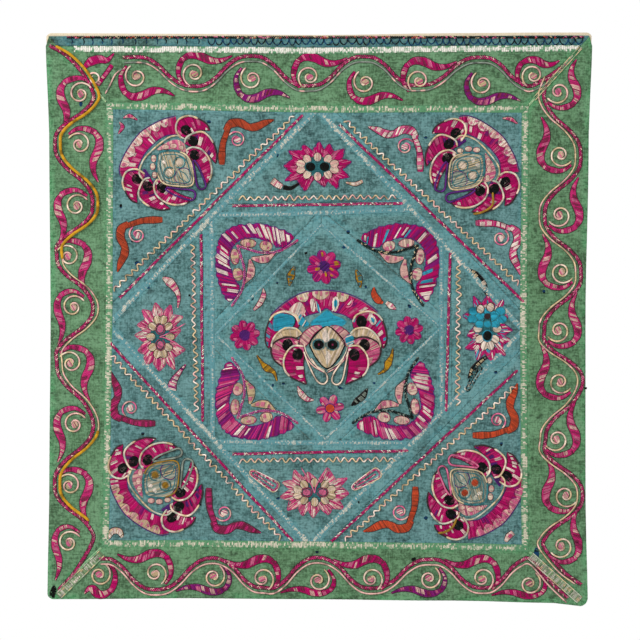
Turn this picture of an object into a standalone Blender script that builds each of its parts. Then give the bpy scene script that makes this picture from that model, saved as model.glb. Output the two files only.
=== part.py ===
"""Textile wall hanging: a pieced and embroidered cloth square in its mitred border, as it hangs flat on a wall.

Everything is cut from one flat cutting plan, in metres: u runs to the right and v upwards, from the middle
of the top edge. The wall is the plane Y = 0, and the cloth hangs in front of it, towards -Y.
"""

import math

import bmesh
import bpy
from mathutils import Matrix, Vector

# --- driving dimensions -------------------------------------------------------------------------
WIDTH = 0.874
HEIGHT = 0.902
CELLS_ACROSS = 16
CELLS_DOWN = 17

SEAM_GAP = 0.0003
CENTRE = Vector((0.0, -0.47))

# Layers from the wall outwards: distance of the sheet's back face from the wall, and its thickness.
BACKING_LAYER = (0.0, 0.0012)
PIECED_LAYER = (0.0015, 0.0015)
RIBBON_LAYER = (0.0033, 0.0010)

# --- the outline, as uneven as the hanging is ----------------------------------------------------
# Share of the way down, and how far the left and the right side are drawn in there.
DRAWN_IN = (
    (0.00, 0.000, 0.000),
    (0.20, 0.006, 0.006),
    (0.50, 0.008, 0.011),
    (0.80, 0.006, 0.011),
    (1.00, 0.003, 0.008),
)
# Share of the way across, and how far the top and the bottom edge lie above their straight lines.
RAISED = (
    (0.00, 0.003, 0.000),
    (0.25, 0.002, 0.002),
    (0.50, 0.000, 0.000),
    (0.75, 0.003, -0.002),
    (0.92, 0.004, -0.005),
    (1.00, 0.004, -0.011),
)
CORNER_RADIUS = {"tl": 0.010, "tr": 0.010, "br": 0.014, "bl": 0.010}
CORNER_FACETS = 4

# Soft folds that the cloth falls into: place across at the top, drift sideways on the way down,
# half width, and how far the fold stands off the wall at the bottom.
FOLDS = (
    (-0.330, 0.030, 0.070, 0.0045),
    (-0.120, -0.030, 0.090, 0.0030),
    (0.090, 0.040, 0.080, 0.0040),
    (0.300, 0.020, 0.060, 0.0035),
)
FLAT_HEAD = 0.060  # the top of the cloth lies flat on the wall this far down
FULL_FOLD = 0.420  # the folds have their full depth from here down
CORNER_LIFT = 0.0045  # the lower right corner lifts off the wall
CORNER_REACH = 0.16

# --- the piecing: four rings of seams, one inside the other --------------------------------------
FRAME = {
    "tl": (-0.338, -0.116),
    "tr": (0.333, -0.122),
    "br": (0.337, -0.816),
    "bl": (-0.344, -0.814),
}
DIAMOND = {
    "top": (-0.003, -0.119),
    "right": (0.335, -0.472),
    "bottom": (-0.012, -0.815),
    "left": (-0.342, -0.465),
}
SQUARE = {
    "tl": (-0.174, -0.290),
    "tr": (0.200, -0.279),
    "br": (0.203, -0.652),
    "bl": (-0.171, -0.652),
}
INNER = {
    "top": (0.005, -0.304),
    "right": (0.201, -0.468),
    "bottom": (0.013, -0.646),
    "left": (-0.167, -0.481),
}
OUTER_SASH = 0.019
MIDDLE_SASH = 0.016
INNER_SASH = 0.018

# --- heading and ribbons ------------------------------------------------------------------------
BACKING_SHOWS = 0.005  # the backing's cream edge stands above the heading
BACKING_INSET = 0.001  # elsewhere it stays behind the border
HEADING_SEAM = -0.0212
HEADING_RIBBON = (-0.0205, -0.0305)
HEADING_RIBBON_START = -0.392
FRAME_RIBBON = 0.011
DIAMOND_RIBBON = 0.009
SQUARE_RIBBON = 0.008
INNER_RIBBON = 0.005
MITRE_RIBBON = 0.004
MITRE_LENGTH = {"tl": 0.036, "tr": 0.105, "br": 0.100, "bl": 0.085}

SIDES = {"top": ("tl", "tr"), "right": ("tr", "br"), "bottom": ("br", "bl"), "left": ("bl", "tl")}
CORNERS = {"tl": ("left", "top"), "tr": ("top", "right"), "br": ("right", "bottom"), "bl": ("bottom", "left")}
OUTLINE = {
    "tl": (-WIDTH / 2, 0.0),
    "tr": (WIDTH / 2, 0.0),
    "br": (WIDTH / 2, -HEIGHT),
    "bl": (-WIDTH / 2, -HEIGHT),
}


# --- how the flat plan hangs ---------------------------------------------------------------------
def eased(table, share, column):
    """The table's value at that share, going smoothly from row to row."""
    share = min(max(share, 0.0), 1.0)
    for low, high in zip(table, table[1:]):
        if share <= high[0]:
            t = (share - low[0]) / (high[0] - low[0])
            t = t * t * (3 - 2 * t)
            return low[column] + t * (high[column] - low[column])
    return table[-1][column]


def drawn(u, v):
    """Where a point of the plan comes to lie, across and up, once the edges have drawn in and sagged."""
    across = u / WIDTH + 0.5
    down = -v / HEIGHT
    left = (1 - across) * eased(DRAWN_IN, down, 1)
    right = across * eased(DRAWN_IN, down, 2)
    top = (1 - down) * eased(RAISED, across, 1)
    bottom = down * eased(RAISED, across, 2)
    return u + left - right, v + top + bottom


def off_wall(u, v):
    """How far the cloth's back stands off the wall there."""
    settled = min(max((-v - FLAT_HEAD) / (FULL_FOLD - FLAT_HEAD), 0.0), 1.0)
    settled = settled * settled * (3 - 2 * settled)
    down = -v / HEIGHT
    height = sum(
        depth * math.exp(-(((u - start - drift * down) / half) ** 2))
        for start, drift, half, depth in FOLDS
    )
    to_corner = math.hypot(u - WIDTH / 2, v + HEIGHT) / CORNER_REACH
    return settled * height + CORNER_LIFT * max(0.0, 1 - to_corner) ** 2


# --- cuts: each is a point of the plan and the direction that is cut away --------------------------
def line(ring, name):
    """The two ends of a ring's side: a side runs between two corners, a corner's between two sides."""
    first, second = (SIDES if name in SIDES else CORNERS)[name]
    return Vector(ring[first]), Vector(ring[second])


def outwards(ends):
    """The unit direction across a line, away from the middle of the hanging."""
    along = (ends[1] - ends[0]).normalized()
    across = Vector((-along.y, along.x))
    return across if across.dot(ends[0] - CENTRE) > 0 else -across


def inside(ends, beyond=0.0):
    """Keeps what lies within a line, or within its parallel further out."""
    away = outwards(ends)
    return ends[0] + away * (beyond - SEAM_GAP / 2), away


def outside(ends, beyond=0.0):
    """Keeps what lies beyond a line, or beyond its parallel further out."""
    away = outwards(ends)
    return ends[0] + away * (beyond + SEAM_GAP / 2), -away


def towards(point, direction):
    """Keeps what lies on that side of a point, by half a seam's gap."""
    direction = Vector(direction).normalized()
    return Vector(point) + direction * SEAM_GAP / 2, -direction


def band(ends, low, high):
    """Keeps the strip between two parallels of a line."""
    return [outside(ends, low), inside(ends, high)]


def ribbon_band(ends, width):
    return band(ends, -width / 2, width / 2)


def parting(ring, name):
    """Keeps a diamond side's own quarter, so that strips on neighbouring sides meet at its points."""
    first, second = line(ring, name)
    middle = (first + second) / 2
    cuts = []
    for point, other in ((first, second), (second, first)):
        flat = abs(point.x - CENTRE.x) < abs(other.x - CENTRE.x)
        gap = middle - point
        cuts.append(towards(point, (gap.x, 0) if flat else (0, gap.y)))
    return cuts


def mitre(name):
    """(point on the frame's corner, direction out to the outline's corner) of a mitred seam."""
    start = Vector(FRAME[name])
    return start, (Vector(OUTLINE[name]) - start).normalized()


def mitre_side(name, side, beyond=0.0):
    """Keeps the side of a mitre where that border strip lies."""
    start, along = mitre(name)
    across = Vector((-along.y, along.x))
    first, second = line(FRAME, side)
    if across.dot((first + second) / 2 - start) < 0:
        across = -across
    return towards(start + across * beyond, across)


def outline(top, sides, bottom, top_corners, bottom_corners):
    """Keeps the hanging's rounded outline, moved in by those distances."""
    low_u, high_u = -WIDTH / 2 + sides, WIDTH / 2 - sides
    cuts = [
        (Vector((0, -top)), Vector((0, 1))),
        (Vector((0, bottom - HEIGHT)), Vector((0, -1))),
        (Vector((low_u, 0)), Vector((-1, 0))),
        (Vector((high_u, 0)), Vector((1, 0))),
    ]
    for name, (u, v) in OUTLINE.items():
        radius = CORNER_RADIUS[name]
        right, up = math.copysign(1, u), 1 if name[0] == "t" else -1
        centre = Vector((u - right * radius, v - up * radius))
        moved_in = top_corners if name[0] == "t" else bottom_corners
        for step in range(1, CORNER_FACETS + 1):
            angle = math.radians(90 * step / (CORNER_FACETS + 1))
            away = Vector((right * math.cos(angle), up * math.sin(angle)))
            cuts.append((centre + away * (radius - moved_in), away))
    return cuts


# --- making the sheets --------------------------------------------------------------------------
def material(name, colour, roughness, metallic=0.0):
    made = bpy.data.materials.new(name)
    made.use_nodes = True
    shader = made.node_tree.nodes["Principled BSDF"]
    shader.inputs["Base Color"].default_value = (*colour, 1.0)
    shader.inputs["Roughness"].default_value = roughness
    shader.inputs["Metallic"].default_value = metallic
    made.diffuse_color = (*colour, 1.0)
    return made


def whole_cloth():
    """The plan as one grid that faces the room, standing off the wall as the cloth does."""
    grid = bmesh.new()
    bmesh.ops.create_grid(grid, x_segments=CELLS_ACROSS, y_segments=CELLS_DOWN, size=0.5)
    upright = Matrix.Rotation(math.radians(90), 3, "X") @ Matrix.Diagonal((WIDTH, HEIGHT, 1))
    bmesh.ops.transform(grid, matrix=upright.to_4x4(), verts=grid.verts)
    bmesh.ops.translate(grid, vec=(0, 0, -HEIGHT / 2), verts=grid.verts)
    for vertex in grid.verts:
        vertex.co.y = -off_wall(vertex.co.x, vertex.co.z)
    return grid


def sheet(name, cuts, layer, finish, collection):
    """One piece of cloth: the plan's grid cut to shape, hung, and given its thickness."""
    grid = whole_cloth()
    for point, away in cuts:
        bmesh.ops.bisect_plane(
            grid,
            geom=[*grid.verts, *grid.edges, *grid.faces],
            dist=0.00002,
            plane_co=(point.x, 0, point.y),
            plane_no=(away.x, 0, away.y),
            clear_outer=True,
        )
    start, thickness = layer
    for vertex in grid.verts:
        vertex.co.x, vertex.co.z = drawn(vertex.co.x, vertex.co.z)
        vertex.co.y -= start
    mesh = bpy.data.meshes.new(name)
    grid.to_mesh(mesh)
    grid.free()
    mesh.materials.append(finish)
    piece = bpy.data.objects.new(name, mesh)
    collection.objects.link(piece)
    thick = piece.modifiers.new("thickness", "SOLIDIFY")
    thick.thickness = thickness
    thick.offset = 1.0
    return piece


def backing(collection):
    finish = material("backing cotton", (0.80, 0.68, 0.50), 0.85)
    cuts = outline(0.0, BACKING_INSET, BACKING_INSET, 0.0, BACKING_INSET)
    sheet("backing_cloth", cuts, BACKING_LAYER, finish, collection)


def borders(collection):
    """Four green strips with mitred ends, and the blue heading along the top."""
    green = material("border cotton", (0.10, 0.30, 0.15), 0.8)
    blue = material("heading cotton", (0.04, 0.20, 0.26), 0.8)
    edge = outline(BACKING_SHOWS, 0.0, 0.0, 0.004, 0.0)
    for side, ends in SIDES.items():
        cuts = [outside(line(FRAME, side)), *edge]
        cuts += [mitre_side(corner, side) for corner in ends]
        if side == "top":
            cuts.append(towards((0, HEADING_SEAM), (0, -1)))
        sheet("border_" + side, cuts, PIECED_LAYER, green, collection)
    cuts = [towards((0, HEADING_SEAM), (0, 1)), *edge]
    cuts += [mitre_side(corner, "top") for corner in SIDES["top"]]
    sheet("heading", cuts, PIECED_LAYER, blue, collection)


def patches(collection):
    """The pieced field: corner, flower and sprig patches, and the middle diamond."""
    teal = material("field silk", (0.07, 0.25, 0.25), 0.6)
    for corner, sides in CORNERS.items():
        frame = [inside(line(FRAME, side)) for side in sides]
        diamond = line(DIAMOND, corner)
        square = [inside(line(SQUARE, side)) for side in sides]
        cuts = [*frame, outside(diamond, OUTER_SASH)]
        sheet("corner_patch_" + corner, cuts, PIECED_LAYER, teal, collection)
        cuts = [*square, inside(diamond), outside(line(INNER, corner), INNER_SASH)]
        sheet("sprig_patch_" + corner, cuts, PIECED_LAYER, teal, collection)
    for side, ends in SIDES.items():
        cuts = [outside(line(SQUARE, side), MIDDLE_SASH), inside(line(FRAME, side))]
        cuts += [inside(line(DIAMOND, corner)) for corner in ends]
        sheet("flower_patch_" + side, cuts, PIECED_LAYER, teal, collection)
    cuts = [inside(line(INNER, corner)) for corner in CORNERS]
    sheet("middle_patch", cuts, PIECED_LAYER, teal, collection)


def sashes(collection):
    """Three rings of bright strips between the patches."""
    bright = material("sash silk", (0.08, 0.36, 0.40), 0.5)
    for corner, sides in CORNERS.items():
        frame = [inside(line(FRAME, side)) for side in sides]
        square = [inside(line(SQUARE, side)) for side in sides]
        cuts = band(line(DIAMOND, corner), 0, OUTER_SASH) + frame + parting(DIAMOND, corner)
        sheet("outer_sash_" + corner, cuts, PIECED_LAYER, bright, collection)
        cuts = band(line(INNER, corner), 0, INNER_SASH) + square + parting(INNER, corner)
        cuts.append(inside(line(DIAMOND, corner)))
        sheet("inner_sash_" + corner, cuts, PIECED_LAYER, bright, collection)
    for side, ends in SIDES.items():
        cuts = band(line(SQUARE, side), 0, MIDDLE_SASH)
        cuts += [inside(line(DIAMOND, corner)) for corner in ends]
        sheet("middle_sash_" + side, cuts, PIECED_LAYER, bright, collection)


def ribbons(collection):
    """Metal ribbons sewn over the seams. Each ends at the edge of the one that it runs into."""
    silver = material("silver ribbon", (0.62, 0.58, 0.50), 0.35, 0.8)
    for side, ends in SIDES.items():
        cuts = ribbon_band(line(FRAME, side), FRAME_RIBBON)
        cuts += [mitre_side(corner, side) for corner in ends]
        sheet("frame_ribbon_" + side, cuts, RIBBON_LAYER, silver, collection)
        cuts = ribbon_band(line(SQUARE, side), SQUARE_RIBBON)
        cuts += [inside(line(DIAMOND, corner), -DIAMOND_RIBBON / 2) for corner in ends]
        sheet("square_ribbon_" + side, cuts, RIBBON_LAYER, silver, collection)
    for corner, sides in CORNERS.items():
        cuts = ribbon_band(line(DIAMOND, corner), DIAMOND_RIBBON) + parting(DIAMOND, corner)
        cuts += [inside(line(FRAME, side), -FRAME_RIBBON / 2) for side in sides]
        sheet("diamond_ribbon_" + corner, cuts, RIBBON_LAYER, silver, collection)
        cuts = ribbon_band(line(INNER, corner), INNER_RIBBON) + parting(INNER, corner)
        cuts += [inside(line(SQUARE, side), -SQUARE_RIBBON / 2) for side in sides]
        sheet("inner_ribbon_" + corner, cuts, RIBBON_LAYER, silver, collection)


def mitre_ribbons(collection):
    """Narrow ribbons over the mitred seams, and the wide one below the heading, which they stop."""
    silver = material("mitre ribbon", (0.55, 0.52, 0.40), 0.4, 0.7)
    for corner, sides in CORNERS.items():
        start, along = mitre(corner)
        ends = (start, start + along)
        across = Vector((-along.y, along.x))
        half = MITRE_RIBBON / 2
        cuts = [towards(start - across * half, across), towards(start + across * half, -across)]
        cuts += [outside(line(FRAME, side), FRAME_RIBBON / 2) for side in sides]
        cuts.append(towards(ends[0] + along * MITRE_LENGTH[corner], -along))
        sheet("mitre_ribbon_" + corner, cuts, RIBBON_LAYER, silver, collection)
    top, bottom = HEADING_RIBBON
    cuts = [
        towards((0, bottom), (0, 1)),
        towards((0, top), (0, -1)),
        towards((HEADING_RIBBON_START, 0), (1, 0)),
        mitre_side("tr", "top", MITRE_RIBBON / 2),
    ]
    sheet("heading_ribbon", cuts, RIBBON_LAYER, silver, collection)


def main():
    for old in list(bpy.data.objects):
        bpy.data.objects.remove(old)
    collection = bpy.data.collections.new("textile wall hanging")
    bpy.context.scene.collection.children.link(collection)
    for make in (backing, borders, patches, sashes, ribbons, mitre_ribbons):
        make(collection)


main()
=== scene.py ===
# %% [markdown]
# # A pieced and embroidered wall hanging
#
# The real thing is a cloth square as wide as an arm is long: nested diamonds and squares of teal silk, a
# green mitred border, silver ribbons over the seams, and blossoms and vines worked in silk and couched
# cord. The cutting plan is already here as thin plain solids. This lesson turns each of them into soft
# cloth, then sews on top of it. Everything is placed from those solids, in metres: X to the right, Z up,
# and the room is on the -Y side.

# %% Load the frame
import math

import bmesh
import bpy
import numpy as np
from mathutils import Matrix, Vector, noise
from mathutils.bvhtree import BVHTree


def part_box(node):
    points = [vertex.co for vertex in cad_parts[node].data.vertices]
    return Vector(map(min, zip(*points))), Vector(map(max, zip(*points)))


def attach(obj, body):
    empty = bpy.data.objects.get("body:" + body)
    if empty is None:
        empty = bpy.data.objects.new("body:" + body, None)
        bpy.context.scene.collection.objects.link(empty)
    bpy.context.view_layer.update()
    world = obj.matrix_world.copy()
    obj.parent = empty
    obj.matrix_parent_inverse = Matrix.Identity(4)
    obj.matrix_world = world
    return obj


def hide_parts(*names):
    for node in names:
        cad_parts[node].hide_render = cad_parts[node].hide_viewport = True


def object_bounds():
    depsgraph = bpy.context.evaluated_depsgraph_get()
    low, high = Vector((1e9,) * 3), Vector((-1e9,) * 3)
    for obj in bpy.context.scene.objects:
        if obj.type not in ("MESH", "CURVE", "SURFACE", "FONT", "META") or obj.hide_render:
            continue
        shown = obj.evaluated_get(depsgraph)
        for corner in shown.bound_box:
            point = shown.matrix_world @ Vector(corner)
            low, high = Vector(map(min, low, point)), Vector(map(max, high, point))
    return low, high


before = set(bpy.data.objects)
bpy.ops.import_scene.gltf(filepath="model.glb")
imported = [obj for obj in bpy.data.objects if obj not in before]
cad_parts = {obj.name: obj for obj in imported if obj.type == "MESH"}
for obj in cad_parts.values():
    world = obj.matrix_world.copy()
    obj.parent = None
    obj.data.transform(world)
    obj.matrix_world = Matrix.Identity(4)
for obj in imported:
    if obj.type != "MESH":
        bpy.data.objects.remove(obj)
CAD_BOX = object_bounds()
LOW, HIGH = (Vector(corner) for corner in CAD_BOX)
MIDDLE = (LOW + HIGH) / 2
MM = 0.001
print("pieces in the plan:", len(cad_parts), "size in mm:", [round(s / MM) for s in HIGH - LOW])

# %% [markdown]
# ## Camera, floor and light
#
# A flat textile is shown square on, through a long lens, so that its sides stay parallel. The light has
# three parts: a white surround that fills every hollow evenly, one large soft lamp high on the left, and a
# weaker one behind. The first lamp rakes across the cloth, which is what makes puckers and raised threads
# readable. A wall would hide the back, so there is none: only a pale floor well below.

# %% Camera, floor and light
LENS = 100
SENSOR = 36
VIEW_WIDTH = 1.024
AIM_SHIFT = (1.6 * MM, -1.5 * MM)
FLOOR_BELOW = 0.75
FLOOR_SIZE = 4.4
LAMPS = (
    # name, place, size, power
    ("key", (-2.0, -1.9, 1.3), 0.9, 62),
    ("back_fill", (1.5, 2.6, 0.9), 1.6, 30),
)

camera_data = bpy.data.cameras.new("camera")
camera_data.lens = LENS
camera_data.sensor_width = SENSOR
camera = bpy.data.objects.new("camera", camera_data)
camera.location = (MIDDLE.x + AIM_SHIFT[0], -VIEW_WIDTH * LENS / SENSOR, MIDDLE.z + AIM_SHIFT[1])
camera.rotation_euler = (math.radians(90), 0, 0)
bpy.context.scene.collection.objects.link(camera)
bpy.context.scene.camera = camera
bpy.context.scene.view_settings.view_transform = "Standard"


def soft_lamp(name, place, size, power):
    """A round lamp that is turned to the middle of the cloth."""
    data = bpy.data.lights.new(name, "AREA")
    data.shape = "DISK"
    data.size = size
    data.energy = power
    lamp = bpy.data.objects.new(name, data)
    lamp.location = place
    aim = Vector((MIDDLE.x, 0, MIDDLE.z)) - lamp.location
    lamp.rotation_euler = aim.to_track_quat("-Z", "Y").to_euler()
    bpy.context.scene.collection.objects.link(lamp)


for row in LAMPS:
    soft_lamp(*row)

surround = bpy.data.worlds.new("surround")
surround.use_nodes = True
white = surround.node_tree.nodes["Background"]
white.inputs["Color"].default_value = (1, 1, 1, 1)
white.inputs["Strength"].default_value = 1.0
bpy.context.scene.world = surround

bpy.ops.object.select_all(action="DESELECT")
bpy.ops.mesh.primitive_plane_add(size=FLOOR_SIZE, location=(0, 0, LOW.z - FLOOR_BELOW))
floor = bpy.context.object
floor.name = "floor"
paint = bpy.data.materials.new("pale floor")
paint.use_nodes = True
matt = paint.node_tree.nodes["Principled BSDF"]
matt.inputs["Base Color"].default_value = (0.78, 0.77, 0.75, 1)
matt.inputs["Roughness"].default_value = 0.9
floor.data.materials.append(paint)
print("camera is", round(-camera.location.y, 2), "m in front of the cloth")

# %% [markdown]
# ## Colours
#
# Dyed silk is named here once, as it looks on a screen, and turned into the linear values that shaders and
# colour attributes take. A motif names its dyes in one string, such as "pink pink rose", and a dye named
# twice is drawn twice as often. The lamp adds to the white surround, so each colour is darkened by the
# share that it adds. Thread is darkened less than cloth, because stitches shade one another.

# %% Dyes
LIGHT_ON_CLOTH = 1.45
DYES = {
    "magenta": (180, 8, 96),
    "rose": (196, 44, 112),
    "pink": (208, 104, 140),
    "blush": (220, 174, 164),
    "purple": (134, 24, 112),
    "violet": (84, 34, 112),
    "cream": (224, 202, 180),
    "shell": (238, 220, 206),
    "silver": (186, 186, 168),
    "grey": (128, 138, 126),
    "straw": (204, 180, 142),
    "gold": (190, 140, 28),
    "ochre": (150, 112, 34),
    "rust": (172, 68, 40),
    "orange": (204, 78, 44),
    "maroon": (136, 40, 76),
    "cyan": (48, 160, 186),
    "teal": (54, 116, 122),
    "navy": (22, 62, 98),
    "black": (16, 16, 14),
    "umber": (60, 44, 46),
    "green": (82, 140, 98),
    "sage": (130, 156, 116),
}


def linear(colour, light=LIGHT_ON_CLOTH):
    """A screen colour as linear red, green and blue, for a surface that the lamps light that strongly."""
    part = np.array(colour, float) / 255
    return np.where(part <= 0.04045, part / 12.92, ((part + 0.055) / 1.055) ** 2.4) / light


LIGHT_ON_THREAD = 1.08
DYE = {name: linear(colour, LIGHT_ON_THREAD) for name, colour in DYES.items()}
print("dyes:", len(DYE))

# %% [markdown]
# ## Materials from a few helpers
#
# Every finish here is built from nodes. `add` makes one node and wires or fills its sockets, so that a
# material reads from top to bottom like a recipe. Patterns use Object coordinates, in metres, because the
# cloth lies flat and its weave runs straight across and down.


# %% Node helpers
def start_material(name, roughness, **sockets):
    """A new material, its nodes and its shader, with the sockets that are named set."""
    made = bpy.data.materials.new(name)
    made.use_nodes = True
    shader = made.node_tree.nodes["Principled BSDF"]
    shader.inputs["Roughness"].default_value = roughness
    for socket, value in sockets.items():
        shader.inputs[socket.replace("_", " ")].default_value = value
    return made, made.node_tree, shader


def add(tree, kind, sockets=None, **settings):
    """Adds a shader node. A value that is a socket is wired, and any other is set."""
    made = tree.nodes.new("ShaderNode" + kind)
    for key, value in settings.items():
        setattr(made, key, value)
    for key, value in (sockets or {}).items():
        if isinstance(value, bpy.types.NodeSocket):
            tree.links.new(value, made.inputs[key])
        else:
            made.inputs[key].default_value = value
    return made


def sums(tree, kind, first, second=0.0):
    """One step of arithmetic on numbers or sockets."""
    return add(tree, "Math", {0: first, 1: second}, operation=kind).outputs[0]


def blend(tree, share, one, other):
    """Two colours mixed, with a share of the second."""
    mix = add(tree, "Mix", {0: share}, data_type="RGBA")
    for socket, value in ((mix.inputs[6], one), (mix.inputs[7], other)):
        if isinstance(value, bpy.types.NodeSocket):
            tree.links.new(value, socket)
        else:
            socket.default_value = (*value, 1.0)
    return mix.outputs[2]


def steps(tree, value, low, high):
    """0 below low, 1 above high, smooth between."""
    ramp = add(tree, "MapRange", {0: value, 1: low, 2: high}, interpolation_type="SMOOTHSTEP")
    return ramp.outputs[0]


def grain(tree, place, stretch, detail=3.0, scale=1.0, seed=0.0):
    """Noise whose blotches are stretched: a large number along an axis makes them short there."""
    mapped = add(tree, "Mapping", {"Vector": place, "Scale": stretch, "Location": (seed, seed, seed)})
    made = add(tree, "TexNoise", {"Vector": mapped.outputs[0], "Scale": scale, "Detail": detail})
    return made.outputs["Fac"]


def finish_with(tree, shader, colour, height, strength, deep):
    """Wires a colour and a bump, deep at most, into the shader."""
    tree.links.new(colour, shader.inputs["Base Color"])
    bump = add(tree, "Bump", {"Height": height, "Strength": strength, "Distance": deep})
    tree.links.new(bump.outputs[0], shader.inputs["Normal"])


# %% [markdown]
# ## Woven silk and cotton
#
# The cloth is hand-woven: short dull streaks, darker and paler, run both ways, age has left it mottled, and
# near the seams it is brighter, where the ribbon sheltered it. One function makes all the cloths from four
# dyes: the usual one, its dark and its faded shade, and the sheltered one.


# %% Woven cloth
AGEING = {
    # stretch, detail, scale, seed, how much it fades and darkens the cloth
    "clouds": ((1, 1, 1), 3.0, 15.0, 3.0, 0.6),
    "mottle": ((1, 1, 1.4), 4.0, 95.0, 13.0, 0.6),
    "weft": ((60, 1, 480), 2.0, 1.0, 5.0, 0.45),
    "warp": ((440, 1, 60), 2.0, 1.0, 9.0, 0.3),
    "specks": ((1, 1, 1), 2.0, 300.0, 2.0, 0.45),
}
SHELTER = 0.85
STAINS = 0.4
SLUB = 0.9 * MM


def woven(name, usual, dark, faded, sheltered, wear=1.0):
    """A hand-woven cloth from its four dyes. With less wear it is more even."""
    made, tree, shader = start_material(name, 0.8, Specular_IOR_Level=0.1)
    place = add(tree, "TexCoord").outputs["Object"]
    pattern = {kind: grain(tree, place, *row[:4]) for kind, row in AGEING.items()}
    near = add(tree, "Attribute", attribute_name="seam").outputs["Fac"]
    patchy = steps(tree, pattern["clouds"], 0.36, 0.56)
    edge = sums(tree, "MULTIPLY", steps(tree, near, 13 * MM, 3 * MM), patchy)
    face = blend(tree, sums(tree, "MULTIPLY", edge, SHELTER), linear(usual), linear(sheltered))
    for kind, row in AGEING.items():
        for dye, low, high in ((faded, 0.50, 0.66), (dark, 0.49, 0.32)):
            share = sums(tree, "MULTIPLY", steps(tree, pattern[kind], low, high), row[4] * wear)
            face = blend(tree, share, face, linear(dye))
    stains = sums(tree, "MULTIPLY", steps(tree, pattern["mottle"], 0.36, 0.27), STAINS * wear)
    face = blend(tree, stains, face, linear([shade * 0.6 for shade in dark]))
    slubs = sums(tree, "ADD", sums(tree, "ADD", pattern["weft"], pattern["warp"]), pattern["mottle"])
    finish_with(tree, shader, face, slubs, 0.6, SLUB)
    return made


CREAM_COTTON = (236, 220, 190)
CLOTHS = {
    # name, usual, dark, faded and sheltered dye, wear
    "border": ("border cotton", (92, 132, 94), (56, 80, 56), (124, 168, 128), (80, 164, 106)),
    "heading": ("heading cotton", (80, 118, 114), (44, 66, 60), (108, 148, 142), (62, 134, 152)),
    "field": ("field silk", (84, 126, 124), (46, 76, 76), (122, 166, 166), (92, 160, 164)),
    "sash": ("sash silk", (90, 134, 134), (54, 86, 86), (124, 168, 168), (96, 166, 174), 0.9),
    "backing": ("backing cotton", CREAM_COTTON, (206, 186, 150), (244, 232, 208), CREAM_COTTON, 0.4),
}
CLOTHS = {kind: woven(*row) for kind, row in CLOTHS.items()}
print("cloths:", ", ".join(CLOTHS))

# %% [markdown]
# ## How the cloth stands off the wall
#
# The plan's solids already hang in four soft folds, with a lifted corner. They are cut coarsely, so their
# faces are flat between points. Rays shot at them from the room give the height of the cloth on a fine
# grid, and a light blur turns the flats into one smooth surface. Later pieces ask the same kind of grid
# where to lie.


# %% A grid of heights
MARGIN = 10 * MM
ROOM = 1.0
SUNK = 0.9 * MM


class Heights:
    """How far a surface stands off the wall, sampled on a square grid and read between its points."""

    def __init__(self, objects, step):
        self.step = step
        self.start = np.array((LOW.x, LOW.z)) - MARGIN
        count = np.ceil((np.array((HIGH.x, HIGH.z)) + MARGIN - self.start) / step).astype(int) + 1
        points, faces = [], []
        for thing in objects:
            base = len(points)
            points += [vertex.co for vertex in thing.data.vertices]
            faces += [[base + index for index in face.vertices] for face in thing.data.polygons]
        tree = BVHTree.FromPolygons(points, faces)
        towards_wall = Vector((0, 1, 0))
        found = np.full(count, np.nan)
        for i in range(count[0]):
            for j in range(count[1]):
                eye = (self.start[0] + i * step, -ROOM, self.start[1] + j * step)
                hit = tree.ray_cast(eye, towards_wall)[0]
                if hit is not None:
                    found[i, j] = -hit.y
        self.grid = found

    def neighbours(self):
        """The grid nine times over: as it is, and moved by one point each way."""
        edged = np.pad(self.grid, 1, constant_values=np.nan)
        wide, tall = self.grid.shape
        return np.array([edged[i : i + wide, j : j + tall] for i in range(3) for j in range(3)])

    def bridge(self):
        """Closes the hair-wide gaps at seams, where a point takes the front-most of its neighbours."""
        front = np.nan_to_num(self.neighbours(), nan=-ROOM).max(axis=0)
        hollow = np.isnan(self.grid) | (self.grid < front - SUNK)
        self.grid = np.where(hollow & (front > -ROOM), front, self.grid)

    def spread(self, times):
        """Carries the edge's height outwards, so that what reaches the rim still finds a surface."""
        for _ in range(times):
            around = self.neighbours()
            count = np.maximum(np.isfinite(around).sum(axis=0), 1)
            mean = np.nansum(around, axis=0) / count
            self.grid = np.where(np.isnan(self.grid) & (mean != 0), mean, self.grid)
        self.grid = np.nan_to_num(self.grid)

    def blur(self, times):
        """Evens the heights out, each time with the two points next to it, across and then up."""
        for _ in range(times):
            edged = np.pad(self.grid, 1, mode="edge")
            across = (edged[:-2, 1:-1] + edged[2:, 1:-1] + 2 * self.grid) / 4
            edged = np.pad(across, 1, mode="edge")
            self.grid = (edged[1:-1, :-2] + edged[1:-1, 2:] + 2 * across) / 4

    def at(self, points):
        """Height at points of (across, up), in metres."""
        spot = (np.asarray(points, float) - self.start) / self.step
        spot = np.clip(spot, 0, np.array(self.grid.shape) - 1.001)
        cell = spot.astype(int)
        (i, j), (u, v) = cell.T, (spot - cell).T
        low = self.grid[i, j] * (1 - u) + self.grid[i + 1, j] * u
        high = self.grid[i, j + 1] * (1 - u) + self.grid[i + 1, j + 1] * u
        return low * (1 - v) + high * v


SIDES = ("top", "right", "bottom", "left")
CORNERS = ("tl", "tr", "br", "bl")
PLAN = {
    "border": [f"border_{side}" for side in SIDES],
    "heading": ["heading"],
    "field": [f"{kind}_{at}" for kind in ("corner_patch", "sprig_patch") for at in CORNERS]
    + [f"flower_patch_{side}" for side in SIDES]
    + ["middle_patch"],
    "sash": [f"{kind}_sash_{at}" for kind in ("outer", "inner") for at in CORNERS]
    + [f"middle_sash_{side}" for side in SIDES],
}
pieced = [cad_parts[name] for names in PLAN.values() for name in names]
hang = Heights(pieced, 6 * MM)
hang.bridge()
hang.spread(4)
hang.blur(6)
nearest, farthest = round(hang.grid.min() / MM, 1), round(hang.grid.max() / MM, 1)
print("cloth's front stands off the wall, mm:", nearest, "to", farthest)

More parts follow.
